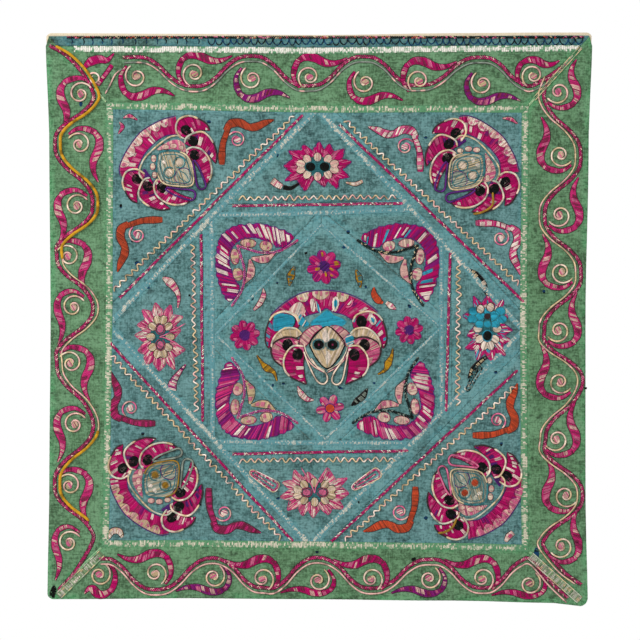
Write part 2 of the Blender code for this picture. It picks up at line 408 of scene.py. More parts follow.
# %% [markdown]
# ## Fine cloth for every piece of the plan
#
# Each piece is cut into small squares along the threads of its weave, the way cloth creases. Its relief
# comes from how it is sewn: between seams the layers loft a little, at a seam the running stitch pinches
# them down and gathers short puckers, and age leaves shallow waves everywhere. The shape of the relief
# depends only on the distance to the seam and the place along it, so every piece gets its own from one
# function.

# %% Cloth relief
CELL = 4.8 * MM
LOFT = 1.5 * MM
LOFT_REACH = 11 * MM
PUCKER = 0.55 * MM
PUCKER_REACH = 10 * MM
PUCKER_PITCH = 9 * MM
WAVES = ((0.9 * MM, 70 * MM), (0.45 * MM, 24 * MM))  # depth and size
CLOTH_THICK = 1.2 * MM


def front_of(node):
    """The plan piece's face that looks into the room, with its triangles joined in pairs."""
    cloth = bmesh.new()
    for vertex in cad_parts[node].data.vertices:
        cloth.verts.new(vertex.co)
    cloth.verts.ensure_lookup_table()
    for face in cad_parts[node].data.polygons:
        cloth.faces.new([cloth.verts[index] for index in face.vertices])
    bmesh.ops.remove_doubles(cloth, verts=cloth.verts, dist=1e-5)
    cloth.normal_update()
    hidden = [face for face in cloth.faces if face.normal.y > -0.5]
    bmesh.ops.delete(cloth, geom=hidden, context="FACES")
    bmesh.ops.join_triangles(cloth, faces=cloth.faces, angle_face_threshold=0.4, angle_shape_threshold=0.7)
    return cloth


def slice_up(cloth, along, step):
    """Cuts the cloth by parallel planes, a step apart."""
    places = [vertex.co.dot(along) for vertex in cloth.verts]
    first, last = math.ceil(min(places) / step), math.ceil(max(places) / step)
    for number in range(first, last):
        everything = [*cloth.verts, *cloth.edges, *cloth.faces]
        bmesh.ops.bisect_plane(
            cloth, geom=everything, dist=2e-5, plane_co=along * (number * step), plane_no=along
        )


def rim_of(cloth):
    """The boundary as segments: start, end, and the length walked to the start."""
    ends = [[corner.co for corner in edge.verts] for edge in cloth.edges if edge.is_boundary]
    ends = np.array(ends)[:, :, [0, 2]]
    heading = ends[:, 1] - ends[:, 0]
    length = np.linalg.norm(heading, axis=1)
    bearing = heading / length[:, None]
    walked = np.einsum("ij,ij->i", ends[:, 0], bearing)
    return ends[:, 0], bearing, length, walked


def to_seam(points, rim):
    """Distance from each point to the nearest rim segment, and how far along the seam that is."""
    start, bearing, length, walked = rim
    away = points[:, None] - start[None]
    along = np.einsum("ijk,jk->ij", away, bearing)
    near = np.clip(along, 0, length)
    gap = np.linalg.norm(away - near[..., None] * bearing, axis=2)
    which = gap.argmin(axis=1)
    rows = np.arange(len(points))
    return gap[rows, which], walked[which] + near[rows, which]


def noisy(points, size, seed=0.0):
    """Soft noise in blotches of that size, from about -1 to 1, at points of (across, up)."""
    return np.array([noise.noise((x / size, seed, z / size)) for x, z in points])


def relief(points, seam, along):
    """How far the cloth stands proud of the plan there."""
    height = LOFT * (1 - np.exp(-seam / LOFT_REACH))
    wander = 2.5 * noisy(points, 30 * MM, 7.0)
    height += PUCKER * np.exp(-seam / PUCKER_REACH) * np.sin(2 * np.pi * along / PUCKER_PITCH + wander)
    for depth, size in WAVES:
        height += depth * noisy(points, size, size) * (1 - 0.6 * np.exp(-seam / (6 * MM)))
    return height


# %% Making the sheets
SIDE_AT_LEAST = 20 * MM


def places_of(cloth):
    """The cloth's points as (across, up)."""
    return np.array([vertex.co for vertex in cloth.verts])[:, [0, 2]]


def stand_off(cloth, heights):
    """Moves each point of the cloth to its height off the wall."""
    for vertex, height in zip(cloth.verts, heights):
        vertex.co.y = -height


def flat_size(cloth):
    """Width and length of the smallest rectangle round the flat cut, and its area."""
    points = places_of(cloth)
    best = None
    for edge in cloth.edges:
        if edge.is_boundary and edge.calc_length() > SIDE_AT_LEAST:
            way = edge.verts[1].co - edge.verts[0].co
            way = np.array((way.x, way.z)) / math.hypot(way.x, way.z)
            sides = [np.ptp(points @ way), np.ptp(points @ np.array((-way[1], way[0])))]
            if best is None or sides[0] * sides[1] < best[0] * best[1]:
                best = sides
    return (min(best), max(best)), sum(face.calc_area() for face in cloth.faces)


def finish_sheet(name, cloth, finish, thickness, attributes):
    """Turns the cut cloth into an object with smooth faces and, if it has one, its thickness."""
    mesh = bpy.data.meshes.new(name)
    cloth.to_mesh(mesh)
    cloth.free()
    for key, values in attributes.items():
        layer = mesh.attributes.new(key, "FLOAT", "POINT")
        layer.data.foreach_set("value", np.asarray(values, np.float32))
    mesh.materials.append(finish)
    made = bpy.data.objects.new(name, mesh)
    bpy.context.scene.collection.objects.link(made)
    bpy.ops.object.select_all(action="DESELECT")
    bpy.context.view_layer.objects.active = made
    made.select_set(True)
    if thickness:
        thick = made.modifiers.new("thickness", "SOLIDIFY")
        thick.thickness = thickness
        thick.offset = -1
        bpy.ops.object.modifier_apply(modifier=thick.name)
    bpy.ops.object.shade_smooth()
    return made


def fine_sheet(node, finish, cell, thickness):
    """The cloth that stands for one plan piece."""
    cloth = front_of(node)
    flat, area = flat_size(cloth)
    rim = rim_of(cloth)
    slice_up(cloth, Vector((1, 0, 0)), cell)
    slice_up(cloth, Vector((0, 0, 1)), cell)
    points = places_of(cloth)
    seam, along = to_seam(points, rim)
    stand_off(cloth, hang.at(points) + relief(points, seam, along))
    made = finish_sheet("fine_" + node, cloth, finish, thickness, {"seam": seam})
    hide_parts(node)
    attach(made, "root")
    return made, flat, area


sheets = {}
for kind, names in PLAN.items():
    for name in names:
        sheets[name] = fine_sheet(name, CLOTHS[kind], CELL, CLOTH_THICK)
faces = sum(len(made.data.polygons) for made, flat, area in sheets.values())
print("fine sheets:", len(sheets), "faces:", faces)

# %% [markdown]
# ## The backing
#
# One whole cream cloth carries everything. It shows only as a thin edge above the heading and as the entire
# back, so it is cut into larger squares and has no lofted relief of its own: it simply follows the folds.

# %% Backing
BACKING_BEHIND = 1.8 * MM
BACKING_CELL = 13 * MM
BACKING_THICK = 1.0 * MM

cloth = front_of("backing_cloth")
backing_flat, backing_area = flat_size(cloth)
slice_up(cloth, Vector((1, 0, 0)), BACKING_CELL)
slice_up(cloth, Vector((0, 0, 1)), BACKING_CELL)
spots = places_of(cloth)
stand_off(cloth, hang.at(spots) - BACKING_BEHIND + 0.2 * MM * noisy(spots, 40 * MM))
no_seam = {"seam": np.ones(len(spots))}
backing = finish_sheet("fine_backing_cloth", cloth, CLOTHS["backing"], BACKING_THICK, no_seam)
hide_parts("backing_cloth")
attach(backing, "root")
print("backing, flat, mm:", [round(side / MM) for side in backing_flat])

surface = Heights([made for made, flat, area in sheets.values()], 2 * MM)
surface.bridge()
surface.spread(3)
print("finished cloth stands off the wall, mm:", round(surface.grid.max() / MM, 1), "at most")

# %% [markdown]
# ## Silver ribbons
#
# The seams are hidden under woven metal ribbon, couched down along both edges. It is flat metal wound round
# a core, so it glints in beads, and it has worn: in some places the whole width is left, and in others only
# a line along the middle. Each ribbon is bent over the finished cloth, high in the middle and stitched down
# at its rims.


# %% Ribbon finish
def metal_ribbon(name, colour, under, kept, bead, rails=0.0):
    """Woven metal ribbon over an under colour.

    `kept` is the share of its beads that still shine, `bead` is the length of one, and `rails` says how
    strongly two bright lines show beside the middle.
    """
    made, tree, shader = start_material(name, 0.5, Specular_IOR_Level=0.3)
    place = add(tree, "TexCoord").outputs["Object"]
    lay = add(tree, "Attribute", attribute_name="lay").outputs["Vector"]
    drift = grain(tree, place, (1, 1, 1), 3.0, 34.0, 4.0)
    ragged = grain(tree, place, (1, 1, 1), 2.0, 300.0, 8.0)
    rough = sums(tree, "MULTIPLY", sums(tree, "SUBTRACT", ragged, 0.5), 1.4)
    beads = add(tree, "VectorMath", {0: lay, 1: (1 / bead, 1.55, 0)}, operation="MULTIPLY").outputs[0]
    wander = {0: sums(tree, "MULTIPLY", rough, 0.9), 1: sums(tree, "ADD", rough, 0.5)}
    wander = add(tree, "CombineXYZ", wander).outputs[0]
    beads = add(tree, "VectorMath", {0: beads, 1: wander}, operation="ADD").outputs[0]
    number = add(tree, "VectorMath", {0: beads}, operation="FLOOR").outputs[0]
    inside = add(tree, "VectorMath", {0: beads}, operation="FRACTION").outputs[0]
    gap = add(tree, "SeparateXYZ", {0: inside}).outputs[0]
    glint = add(tree, "TexWhiteNoise", {"Vector": number}, noise_dimensions="3D").outputs["Value"]
    across = sums(tree, "ABSOLUTE", add(tree, "SeparateXYZ", {0: lay}).outputs[1])
    share = sums(tree, "ADD", kept, sums(tree, "MULTIPLY", sums(tree, "SUBTRACT", drift, 0.5), 1.8))
    share = sums(tree, "ADD", share, sums(tree, "MULTIPLY", sums(tree, "SUBTRACT", 0.45, across), 0.7))
    shines = steps(tree, sums(tree, "SUBTRACT", share, glint), -0.45, 0.3)
    gap = sums(tree, "MULTIPLY", steps(tree, gap, -0.1, 0.3), steps(tree, gap, 1.05, 0.75))
    lit = sums(tree, "MULTIPLY", shines, gap)
    lit = sums(tree, "MULTIPLY", lit, steps(tree, sums(tree, "ADD", across, rough), 1.1, 0.9))
    if rails:
        rail = sums(tree, "ABSOLUTE", sums(tree, "SUBTRACT", across, 0.62))
        lit = sums(tree, "MAXIMUM", lit, sums(tree, "MULTIPLY", steps(tree, rail, 0.2, 0.1), rails))
    paler = linear([shade * 1.12 for shade in under])
    below = blend(tree, steps(tree, rough, -0.3, 0.3), linear(under), paler)
    finish_with(tree, shader, blend(tree, lit, below, linear(colour)), lit, 0.6, 0.6 * MM)
    return made


GREEN, BLUE = (82, 138, 96), (84, 138, 144)
SILVERS = {
    "heading": metal_ribbon("heading silver", (255, 246, 236), GREEN, 0.55, 3.0 * MM),
    "frame": metal_ribbon("frame silver", (236, 222, 200), GREEN, 0.2, 2.4 * MM),
    "field": metal_ribbon("field silver", (222, 214, 194), BLUE, 0.16, 2.2 * MM),
    "inner": metal_ribbon("inner silver", (206, 206, 192), BLUE, 0.05, 2.2 * MM),
    "mitre": metal_ribbon("mitre silver", (206, 216, 172), (100, 164, 114), 0.16, 2.6 * MM, 0.75),
}

RIBBONS = (
    # kind, where, finish, crown
    ("frame_ribbon", SIDES, "frame", 1.0 * MM),
    ("square_ribbon", SIDES, "inner", 0.9 * MM),
    ("diamond_ribbon", CORNERS, "field", 0.9 * MM),
    ("inner_ribbon", CORNERS, "inner", 0.8 * MM),
    ("mitre_ribbon", CORNERS, "mitre", 0.8 * MM),
    ("heading_ribbon", ("",), "heading", 1.0 * MM),
)


# %% Laying the ribbons
RIB = 1.3 * MM
NARROWEST = 1.2 * MM
RIBBON_LIFT = 0.15 * MM
CRIMP, CRIMP_PITCH = 0.22 * MM, 2.6 * MM
DENT, DENT_SIZE = 0.3 * MM, 9 * MM


def lay_ribbon(node, finish, crown):
    """A ribbon cut from its plan piece, ribbed across, and laid over the finished cloth."""
    strip = front_of(node)
    points = places_of(strip)
    centre = points.mean(axis=0)
    bearing = np.linalg.svd(points - centre)[2][0]
    left = np.array((-bearing[1], bearing[0]))
    slice_up(strip, Vector((bearing[0], 0, bearing[1])), RIB)
    width = np.ptp((points - centre) @ left)
    slice_up(strip, Vector((left[0], 0, left[1])), max(width / 5, NARROWEST))
    points = places_of(strip)
    along = (points - centre) @ bearing
    straight = np.polyfit(along, (points - centre) @ left, 2)
    across = ((points - centre) @ left - np.polyval(straight, along)) / (width / 2)
    arch = np.clip(1 - across**2, 0, 1)
    crimp = CRIMP * np.sin(2 * np.pi * along / CRIMP_PITCH) + DENT * noisy(points, DENT_SIZE, 1.0)
    stand_off(strip, surface.at(points) + RIBBON_LIFT + crown * arch + crimp * (0.3 + arch))
    made = finish_sheet("fine_" + node, strip, finish, 0, {})
    layer = made.data.attributes.new("lay", "FLOAT_VECTOR", "POINT")
    lay = np.column_stack([along, across, 0 * along]).astype(np.float32)
    layer.data.foreach_set("vector", lay.ravel())
    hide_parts(node)
    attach(made, "root")
    return made


ribbons = {}
for kind, places, finish, crown in RIBBONS:
    for place in places:
        name = f"{kind}_{place}".rstrip("_")
        ribbons[name] = lay_ribbon(name, SILVERS[finish], crown)
print("ribbons:", len(ribbons), "faces:", sum(len(made.data.polygons) for made in ribbons.values()))

# %% [markdown]
# ## One stitch, modelled once
#
# All of the flat needlework is one satin stitch, repeated: a short round bundle of silk that dives into the
# cloth at both ends. It is a six-sided tube, cut off at the cloth and narrowed at its ends, so that tens of
# thousands of them stay light. Its points are read once and every row of stitches is laid from them.


# %% The stitch
def stitch_shape():
    """The satin stitch as arrays: its points, one unit long and wide, and its four-cornered faces."""
    bpy.ops.object.select_all(action="DESELECT")
    bpy.ops.mesh.primitive_cylinder_add(
        vertices=6, radius=0.5, depth=1, end_fill_type="NOTHING", rotation=(0, math.pi / 2, 0)
    )
    bundle = bpy.context.object
    bpy.ops.object.transform_apply(location=True, rotation=True, scale=True)
    bpy.ops.object.mode_set(mode="EDIT")
    for at in (-0.36, 0.36):
        bpy.ops.mesh.select_all(action="SELECT")
        bpy.ops.mesh.bisect(plane_co=(at, 0, 0), plane_no=(1, 0, 0))
    bpy.ops.mesh.select_all(action="SELECT")
    bpy.ops.mesh.bisect(plane_co=(0, 0, 0), plane_no=(0, 0, 1), clear_inner=True)
    bpy.ops.object.mode_set(mode="OBJECT")
    for end in (-0.5, 0.5):
        for vertex in bundle.data.vertices:
            vertex.select = abs(vertex.co.x - end) < 0.01
        bpy.ops.object.mode_set(mode="EDIT")
        bpy.ops.mesh.select_mode(type="VERT")
        bpy.ops.transform.resize(value=(1, 0.55, 0.25), center_override=(end, 0, 0))
        bpy.ops.object.mode_set(mode="OBJECT")
    points = np.array([vertex.co for vertex in bundle.data.vertices])
    faces = np.array([face.vertices for face in bundle.data.polygons if len(face.vertices) == 4])
    bpy.data.objects.remove(bundle)
    return points, faces


STITCH, STITCH_FACES = stitch_shape()
print("one stitch has", len(STITCH), "points and", len(STITCH_FACES), "faces")

# %% [markdown]
# ## Curves for drawing on cloth
#
# Outlines are drawn flat, as paths of (across, up) points, the way a pattern is pounced on silk. A few
# functions are enough: a smooth curve through given points, a spiral, an ellipse, and a path moved
# sideways by a distance.


# %% Paths
def measure(path):
    """The length walked to each point of a path."""
    return np.concatenate([[0], np.cumsum(np.linalg.norm(np.diff(path, axis=0), axis=1))])


def resample(path, count):
    """The path again, as that many evenly spaced points."""
    walked = measure(path)
    even = np.linspace(0, walked[-1], count)
    return np.column_stack([np.interp(even, walked, path[:, axis]) for axis in (0, 1)])


def smooth(points, closed=False, fine=8):
    """A curve through given points."""
    points = np.asarray(points, float)
    if closed:
        ring = np.vstack([points[-1], points, points[:2]])
    else:
        ring = np.vstack([2 * points[0] - points[1], points, 2 * points[-1] - points[-2]])
    t = np.linspace(0, 1, fine + 1)[:-1, None]
    parts = []
    for a, b, c, d in zip(ring, ring[1:], ring[2:], ring[3:]):
        cubic = (3 * b - a - 3 * c + d) * t**3 + (2 * a - 5 * b + 4 * c - d) * t**2
        parts.append((2 * b + (c - a) * t + cubic) / 2)
    return np.vstack([*parts, ring[-2]])


def lefts(path):
    """The direction to the left of the path, at each of its points."""
    way = np.gradient(path, axis=0)
    way /= np.maximum(np.linalg.norm(way, axis=1), 1e-9)[:, None]
    return np.column_stack([-way[:, 1], way[:, 0]])


def sideways(path, by):
    """The path moved to its left, by one distance or by one for each point."""
    return path + np.broadcast_to(by, len(path))[:, None] * lefts(path)


def coil(radius, inner, start, turns):
    """A spiral inwards round (0, 0), from an angle in degrees, with positive turns to the left."""
    share = np.linspace(0, 1, 40)
    angle = np.radians(start) + 2 * np.pi * turns * share
    size = radius + (inner - radius) * share**0.85
    return np.column_stack([np.cos(angle), np.sin(angle)]) * size[:, None]


def ellipse(centre, wide, tall, turn=0.0, count=16):
    """A ring of points round a centre, with its half sizes, turned by an angle in degrees."""
    angle = np.linspace(0, 2 * np.pi, count, endpoint=False)
    flat = np.column_stack([np.cos(angle) * wide, np.sin(angle) * tall])
    c, s = math.cos(math.radians(turn)), math.sin(math.radians(turn))
    return flat @ np.array(((c, s), (-s, c))) + centre


# %% [markdown]
# ## Silk thread
#
# One finish serves every stitch and cord. The dye is painted on the points, stitch by stitch, with small
# differences as in hand-dyed floss. The strand attribute says where on the thread a point lies, so that
# filaments run along a satin stitch and plies wind round a cord. Between filaments and plies, where the
# bump is low, the dye is darkened as painted shade.


# %% Thread finish
HAIRS = 9.0
PLY = 2.4 * MM


def silk_thread(name):
    """The finish of every stitch and cord, which takes its dye from the points."""
    made, tree, shader = start_material(name, 0.5, Specular_IOR_Level=0.05)
    dye = add(tree, "Attribute", attribute_name="dye").outputs["Color"]
    strand = add(tree, "Attribute", attribute_name="strand").outputs["Vector"]
    across, along, kind = add(tree, "SeparateXYZ", {0: strand}).outputs
    hair = sums(tree, "SINE", sums(tree, "MULTIPLY", across, HAIRS))
    winding = sums(tree, "ADD", sums(tree, "MULTIPLY", along, 2 * math.pi / PLY), across)
    ply = sums(tree, "SINE", winding)
    height = add(tree, "Mix", {0: kind, 2: hair, 3: ply}, data_type="FLOAT").outputs[0]
    place = add(tree, "TexCoord").outputs["Object"]
    dust = grain(tree, place, (1, 1, 1), 3.0, 160.0, 6.0)
    shade = sums(tree, "MULTIPLY", steps(tree, dust, 0.50, 0.30), 0.35)
    # painted shade: where the bump is low, between filaments and plies, the dye is darkened towards near
    # black
    painted_groove_shade = sums(tree, "MULTIPLY", steps(tree, height, -0.2, -1.0), 0.22)
    face = blend(tree, sums(tree, "ADD", shade, painted_groove_shade), dye, (0.02, 0.03, 0.03))
    finish_with(tree, shader, face, height, 0.5, 0.25 * MM)
    return made


THREAD = silk_thread("silk thread")

# %% [markdown]
# ## A motif and its stitches
#
# A motif has its own small drawing board: its centre, its size and which way is up. Whatever is drawn on
# the board is stitched in place on the hanging. `fill` is satin stitch between two edges, `satin` fills an
# outline, `cord` couches a round cord along a path, `edge` is a thin dark contour under it, and `plait` is
# a braid of slanting stitches. A dark contour stands partly for the dark outline thread of the real piece
# and partly for painted shadow round raised work; under a cord it is a dark tube a little wider than the
# cord. Every stitch lies on the finished cloth, found from the grid of heights, plus a lift that stacks one
# layer on another. Thread sizes and lifts are given in millimetres.


# %% Motif
UNIT = 1.6 * MM
DYE_SPREAD = 0.13
RUBBED = 0.1
PADDING_STEP = 5 * MM
PADDING_LIFT = 0.1 * MM
STITCH_PITCH = 1.9 * MM
STITCH_HIGH = 0.6 * MM
THINNEST = 0.6 * MM
SHORTEST = 0.8 * MM
ROW_LIFT = 0.12 * MM
BAR_LIFT = 0.45 * MM
PLAIT_LIFT = 0.15 * MM
PLAIT_HIGH = 1.1 * MM
EDGE_STEP = 3.2

needlework = []


def quads(rows, columns):
    """The four-cornered faces of a grid of points, row by row."""
    grid = np.arange(rows * columns).reshape(rows, columns)
    return np.stack([grid[:-1, :-1], grid[:-1, 1:], grid[1:, 1:], grid[1:, :-1]], axis=2).reshape(-1, 4)


class Motif:
    """A drawing board on the hanging, and the stitches drawn on it, which become one piece."""

    def __init__(self, name, at=(0, 0), reach=1.0, turn=0.0, flip=1, seed=1):
        self.name, self.at, self.reach, self.flip = name, np.array(at, float), reach, flip
        c, s = math.cos(math.radians(turn)), math.sin(math.radians(turn))
        self.turned = np.array(((c, s), (-s, c)))
        self.chance = np.random.default_rng(seed)
        self.points, self.faces, self.dyes, self.strands = [], [], [], []

    def board(self, at, turn=0.0, seed=1, reach=UNIT):
        """A further drawing board, whose stitches become part of this motif."""
        made = Motif(self.name, at, reach, turn, seed=seed)
        made.points, made.faces, made.dyes, made.strands = self.points, self.faces, self.dyes, self.strands
        return made

    def put(self, path):
        """From the drawing board to the hanging."""
        board = np.asarray(path, float) * self.reach * (self.flip, 1)
        return board @ self.turned + self.at

    def add(self, plan, stand, faces, dye, strand):
        """Takes in points by their place and how far they stand off the wall, with faces over them."""
        self.points.append(np.column_stack([plan[:, 0], -stand, plan[:, 1]]))
        self.faces.append(faces + sum(len(points) for points in self.points[:-1]))
        self.dyes.append(dye)
        self.strands.append(strand)

    def stitches(self, start, end, width, dye, lift, height):
        """Satin stitches from start to end, all at once."""
        count, size = len(start), len(STITCH)
        way = end - start
        length = np.linalg.norm(way, axis=1)
        left = np.column_stack([-way[:, 1], way[:, 0]]) / np.maximum(length, 1e-9)[:, None]
        x, y, z = STITCH.T
        plan = start[:, None] + (x + 0.5)[None, :, None] * way[:, None]
        plan = plan + y[None, :, None] * width[:, None, None] * left[:, None]
        ground = surface.at(plan.reshape(-1, 2)).reshape(count, size)
        stand = ground + np.broadcast_to(lift, count)[:, None] + 2 * z[None] * height
        faces = STITCH_FACES[None] + np.arange(count)[:, None, None] * size
        strand = np.stack([np.broadcast_to(y * 2, (count, size)), (x + 0.5) * length[:, None]], axis=2)
        strand = np.concatenate([strand, np.zeros((count, size, 1))], axis=2)
        colour = np.repeat(dye, size, axis=0)
        self.add(plan.reshape(-1, 2), stand.ravel(), faces.reshape(-1, 4), colour, strand.reshape(-1, 3))

    def shades(self, dye, count):
        """A dye for each stitch, drawn from the named ones, a little different each time."""
        names = dye.split()
        base = np.array([DYE[names[pick]] for pick in self.chance.integers(0, len(names), count)])
        tone = self.chance.normal(1, DYE_SPREAD, (count, 1)).clip(0.65, 1.35)
        return base * np.where(self.chance.random((count, 1)) < RUBBED, 0.6 * tone, tone)

    def padding(self, one, other, dye, lift):
        """The flat layer of stitches that lies under satin, so that no cloth shows through."""
        across = max(2, math.ceil(np.linalg.norm(other - one, axis=1).max() / PADDING_STEP) + 1)
        share = np.linspace(0.04, 0.96, across)[None, :, None]
        plan = one[:, None] + (other - one)[:, None] * share
        stand = surface.at(plan.reshape(-1, 2)) + lift
        faces = quads(len(one), across)
        corner = plan.reshape(-1, 2)[faces[len(faces) // 2]]
        turn = np.cross(corner[1] - corner[0], corner[3] - corner[0])
        faces = faces[:, ::-1] if turn < 0 else faces
        # painted shade: the padding under the satin takes its stitches' dye, made 20% darker
        colour = np.repeat(dye * 0.8, across, axis=0)
        self.add(plan.reshape(-1, 2), stand, faces, colour, np.zeros((len(stand), 3)))

    def fill(self, one, other, dye, pale="", often=0.1, row=9, lift=0.2, long_bars=False):
        """Satin stitch from edge to edge, in rows if they are far apart, with pale bars over it."""
        row, lift = row * MM, lift * MM
        one, other = self.put(one), self.put(other)
        count = max(3, round(max(measure(one)[-1], measure(other)[-1]) / STITCH_PITCH))
        one, other = resample(one, count + 1), resample(other, count + 1)
        near, far = (np.linalg.norm(np.diff(path, axis=0), axis=1) for path in (one, other))
        one, other = (one[1:] + one[:-1]) / 2, (other[1:] + other[:-1]) / 2
        kept = np.linalg.norm(other - one, axis=1) > SHORTEST
        one, other, near, far = one[kept], other[kept], near[kept], far[kept]
        if len(one) < 2:
            return
        way = other - one
        rows = max(1, round(np.linalg.norm(way, axis=1).max() / row))
        teeth = np.where(np.arange(len(one)) % 2, 0.16, -0.16) + self.chance.normal(0, 0.06, len(one))
        colours = self.shades(dye, len(one))
        self.padding(one, other, colours, lift + PADDING_LIFT)
        for number in range(rows):
            low = (number + (teeth - 0.1 if number else 0)) / rows
            high = (number + 1 + (teeth + 0.1 if number + 1 < rows else 0)) / rows
            start = one + way * np.broadcast_to(low, len(one))[:, None]
            end = one + way * np.broadcast_to(high, len(one))[:, None]
            share = (number + 0.5) / rows
            width = 1.35 * np.maximum(near * (1 - share) + far * share, THINNEST)
            shade = colours * self.chance.normal(1, 0.04, (len(one), 1)).clip(0.8, 1.2)
            self.stitches(start, end, width, shade, lift + ROW_LIFT * (number % 2), STITCH_HIGH)
        if pale:
            self.bars(one, way, 1.3 * (near + far) / 2, pale, often, lift, STITCH_HIGH, long_bars)

    def bars(self, one, way, width, pale, often, lift, height, long_bars=False):
        """Bars of two to four pale stitches over the satin, each over part of its length."""
        place = int(self.chance.integers(1, 6))
        while place < len(one):
            group = np.arange(place, min(place + int(self.chance.integers(2, 5)), len(one)))
            low = self.chance.choice((0.0, 0.15, 0.3) if long_bars else (0.0, 0.15, 0.4, 0.5))
            high = min(1.0, low + self.chance.uniform(0.3, 0.6) + (0.3 if long_bars else 0))
            start, end = one[group] + way[group] * low, one[group] + way[group] * high
            colour = self.shades(str(self.chance.choice(pale.split())), len(group))
            self.stitches(start, end, 1.05 * width[group], colour, lift + BAR_LIFT, height)
            place = group[-1] + 2 + int(self.chance.exponential(0.7 / often))

    def satin(self, outline, dye, turn=0.0, pitch=1.7, lift=0.3, height=0.6, pale="", often=0.1):
        """Fills a closed outline with stitches that lie at an angle on the board."""
        shape = self.put(smooth(outline, closed=True, fine=4))
        turn, pitch, lift, height = math.radians(turn), pitch * MM, lift * MM, height * MM
        way = self.put([(math.cos(turn), math.sin(turn))])[0] - self.at
        way /= np.linalg.norm(way)
        over = np.array((-way[1], way[0]))
        along, across = shape @ way, shape @ over
        count = max(2, round(np.ptp(across) / pitch))
        pitch = np.ptp(across) / count
        starts, ends = [], []
        for level in across.min() + pitch * (np.arange(count) + 0.5):
            a, b = across, np.roll(across, -1)
            crossed = (a < level) != (b < level)
            share = (level - a[crossed]) / (b - a)[crossed]
            hits = np.sort(along[crossed] + share * (np.roll(along, -1) - along)[crossed])
            for low, high in zip(hits[::2], hits[1::2]):
                if high - low > SHORTEST:
                    starts.append(way * low + over * level)
                    ends.append(way * high + over * level)
        if starts:
            starts, ends = np.array(starts), np.array(ends)
            width = np.full(len(starts), pitch * 1.4)
            colours = self.shades(dye, len(starts))
            # where an outline's hollow cuts rows in two, padding would bridge it
            if 2 <= len(starts) <= count:
                self.padding(starts, ends, colours, lift + PADDING_LIFT)
            self.stitches(starts, ends, width, colours, lift, height)
            if pale:
                self.bars(starts, ends - starts, width, pale, often, lift, height)

    def tube(self, path, dye, radius, lift, angles, step, kind, jitter=0.0):
        """A thread along the path, with a point of its section at each angle. A cord's kind is 1."""
        path, radius, lift, step = self.put(path), radius * MM, lift * MM, step * MM
        count = max(4, math.ceil(measure(path)[-1] / step) + 1)
        path = resample(path, count)
        left = lefts(path)
        angles = np.radians(angles)
        end = np.minimum(np.arange(count), np.arange(count)[::-1])
        size = radius * np.where(end == 0, 0.35, 1.0) * (1 + jitter * self.chance.normal(0, 1, count))
        plan = path[:, None] + left[:, None] * (np.cos(angles)[None] * size[:, None])[..., None]
        rise = (np.sin(angles)[None] + max(0.0, -np.sin(angles).min())) * size[:, None]
        stand = surface.at(path)[:, None] + lift + rise
        strand = np.zeros((count, len(angles), 3))
        strand[..., 0] = angles[None]
        strand[..., 1] = measure(path)[:, None]
        strand[..., 2] = kind
        # a cord keeps each dye for three points, and a contour for one
        alike = 3 if kind else 1
        blocks = np.repeat(self.shades(dye, count // 3 + 1 if kind else count), alike, axis=0)[:count]
        colour = np.repeat(blocks, len(angles), axis=0)
        faces = quads(count, len(angles))
        self.add(plan.reshape(-1, 2), stand.ravel(), faces, colour, strand.reshape(-1, 3))

    def cord(self, path, dye, radius, lift=0.1, step=2.5):
        """A round cord, couched along the path."""
        self.tube(path, dye, radius, lift, (-30, 30, 90, 150, 210), step, 1, 0.05)

    def edge(self, path, dye, radius, lift=0.0):
        """A thin dark contour, low on the cloth: partly dark outline thread, partly painted shadow round
        raised work.
        """
        self.tube(path, dye, radius, lift, (0, 90, 180), EDGE_STEP, 0)

    def plait(self, path, dye, flecks, often, width, pitch, lift=0.2):
        """A braid: slanting stitches that meet on the line from both sides."""
        line, width, pitch, lift = self.put(path), width * MM, pitch * MM, lift * MM
        count = max(2, round(measure(line)[-1] / pitch))
        line = resample(line, count + 1)
        left = lefts(line)
        way = np.column_stack([left[:, 1], -left[:, 0]])
        for side in (1, -1):
            start = line - way * pitch * 0.55 + left * side * width / 2
            end = line + way * pitch * 0.6 - left * side * width * 0.06
            colour = self.shades(dye, len(line))
            pale = self.chance.random(len(line)) < often
            colour[pale] = self.shades(flecks, len(line))[pale]
            over = lift + PLAIT_LIFT * (side > 0)
            self.stitches(start, end, np.full(len(line), pitch * 0.95), colour, over, PLAIT_HIGH)

    def sew(self):
        """Makes one piece of all the stitches."""
        points, faces = np.vstack(self.points), np.vstack(self.faces)
        mesh = bpy.data.meshes.new(self.name)
        mesh.from_pydata(points.tolist(), [], faces.tolist())
        dye = mesh.attributes.new("dye", "FLOAT_COLOR", "POINT")
        colours = np.column_stack([np.vstack(self.dyes), np.ones(len(points))])
        dye.data.foreach_set("color", colours.astype(np.float32).ravel())
        strand = mesh.attributes.new("strand", "FLOAT_VECTOR", "POINT")
        strand.data.foreach_set("vector", np.vstack(self.strands).astype(np.float32).ravel())
        mesh.materials.append(THREAD)
        mesh.shade_smooth()
        made = bpy.data.objects.new(self.name, mesh)
        bpy.context.scene.collection.objects.link(made)
        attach(made, "root")
        needlework.append(made)
        print(self.name, "has", len(faces), "faces")


def spot(node, across, up):
    """A place on a plan piece, as shares of its width and height."""
    low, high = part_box(node)
    return np.array((low.x + across * (high.x - low.x), low.z + up * (high.z - low.z)))

# %% [markdown]
# ## Trims along the seams
#
# Outside the ribbon of each diamond and square runs a bright strip, edged by a magenta braid, and beyond it
# a couched zigzag of gilt cord. They were laid by eye, so they drift a few millimetres from parallel. A row
# of the table gives how far each trim lies from its strip's outer edge at both ends, and where it starts
# and stops.

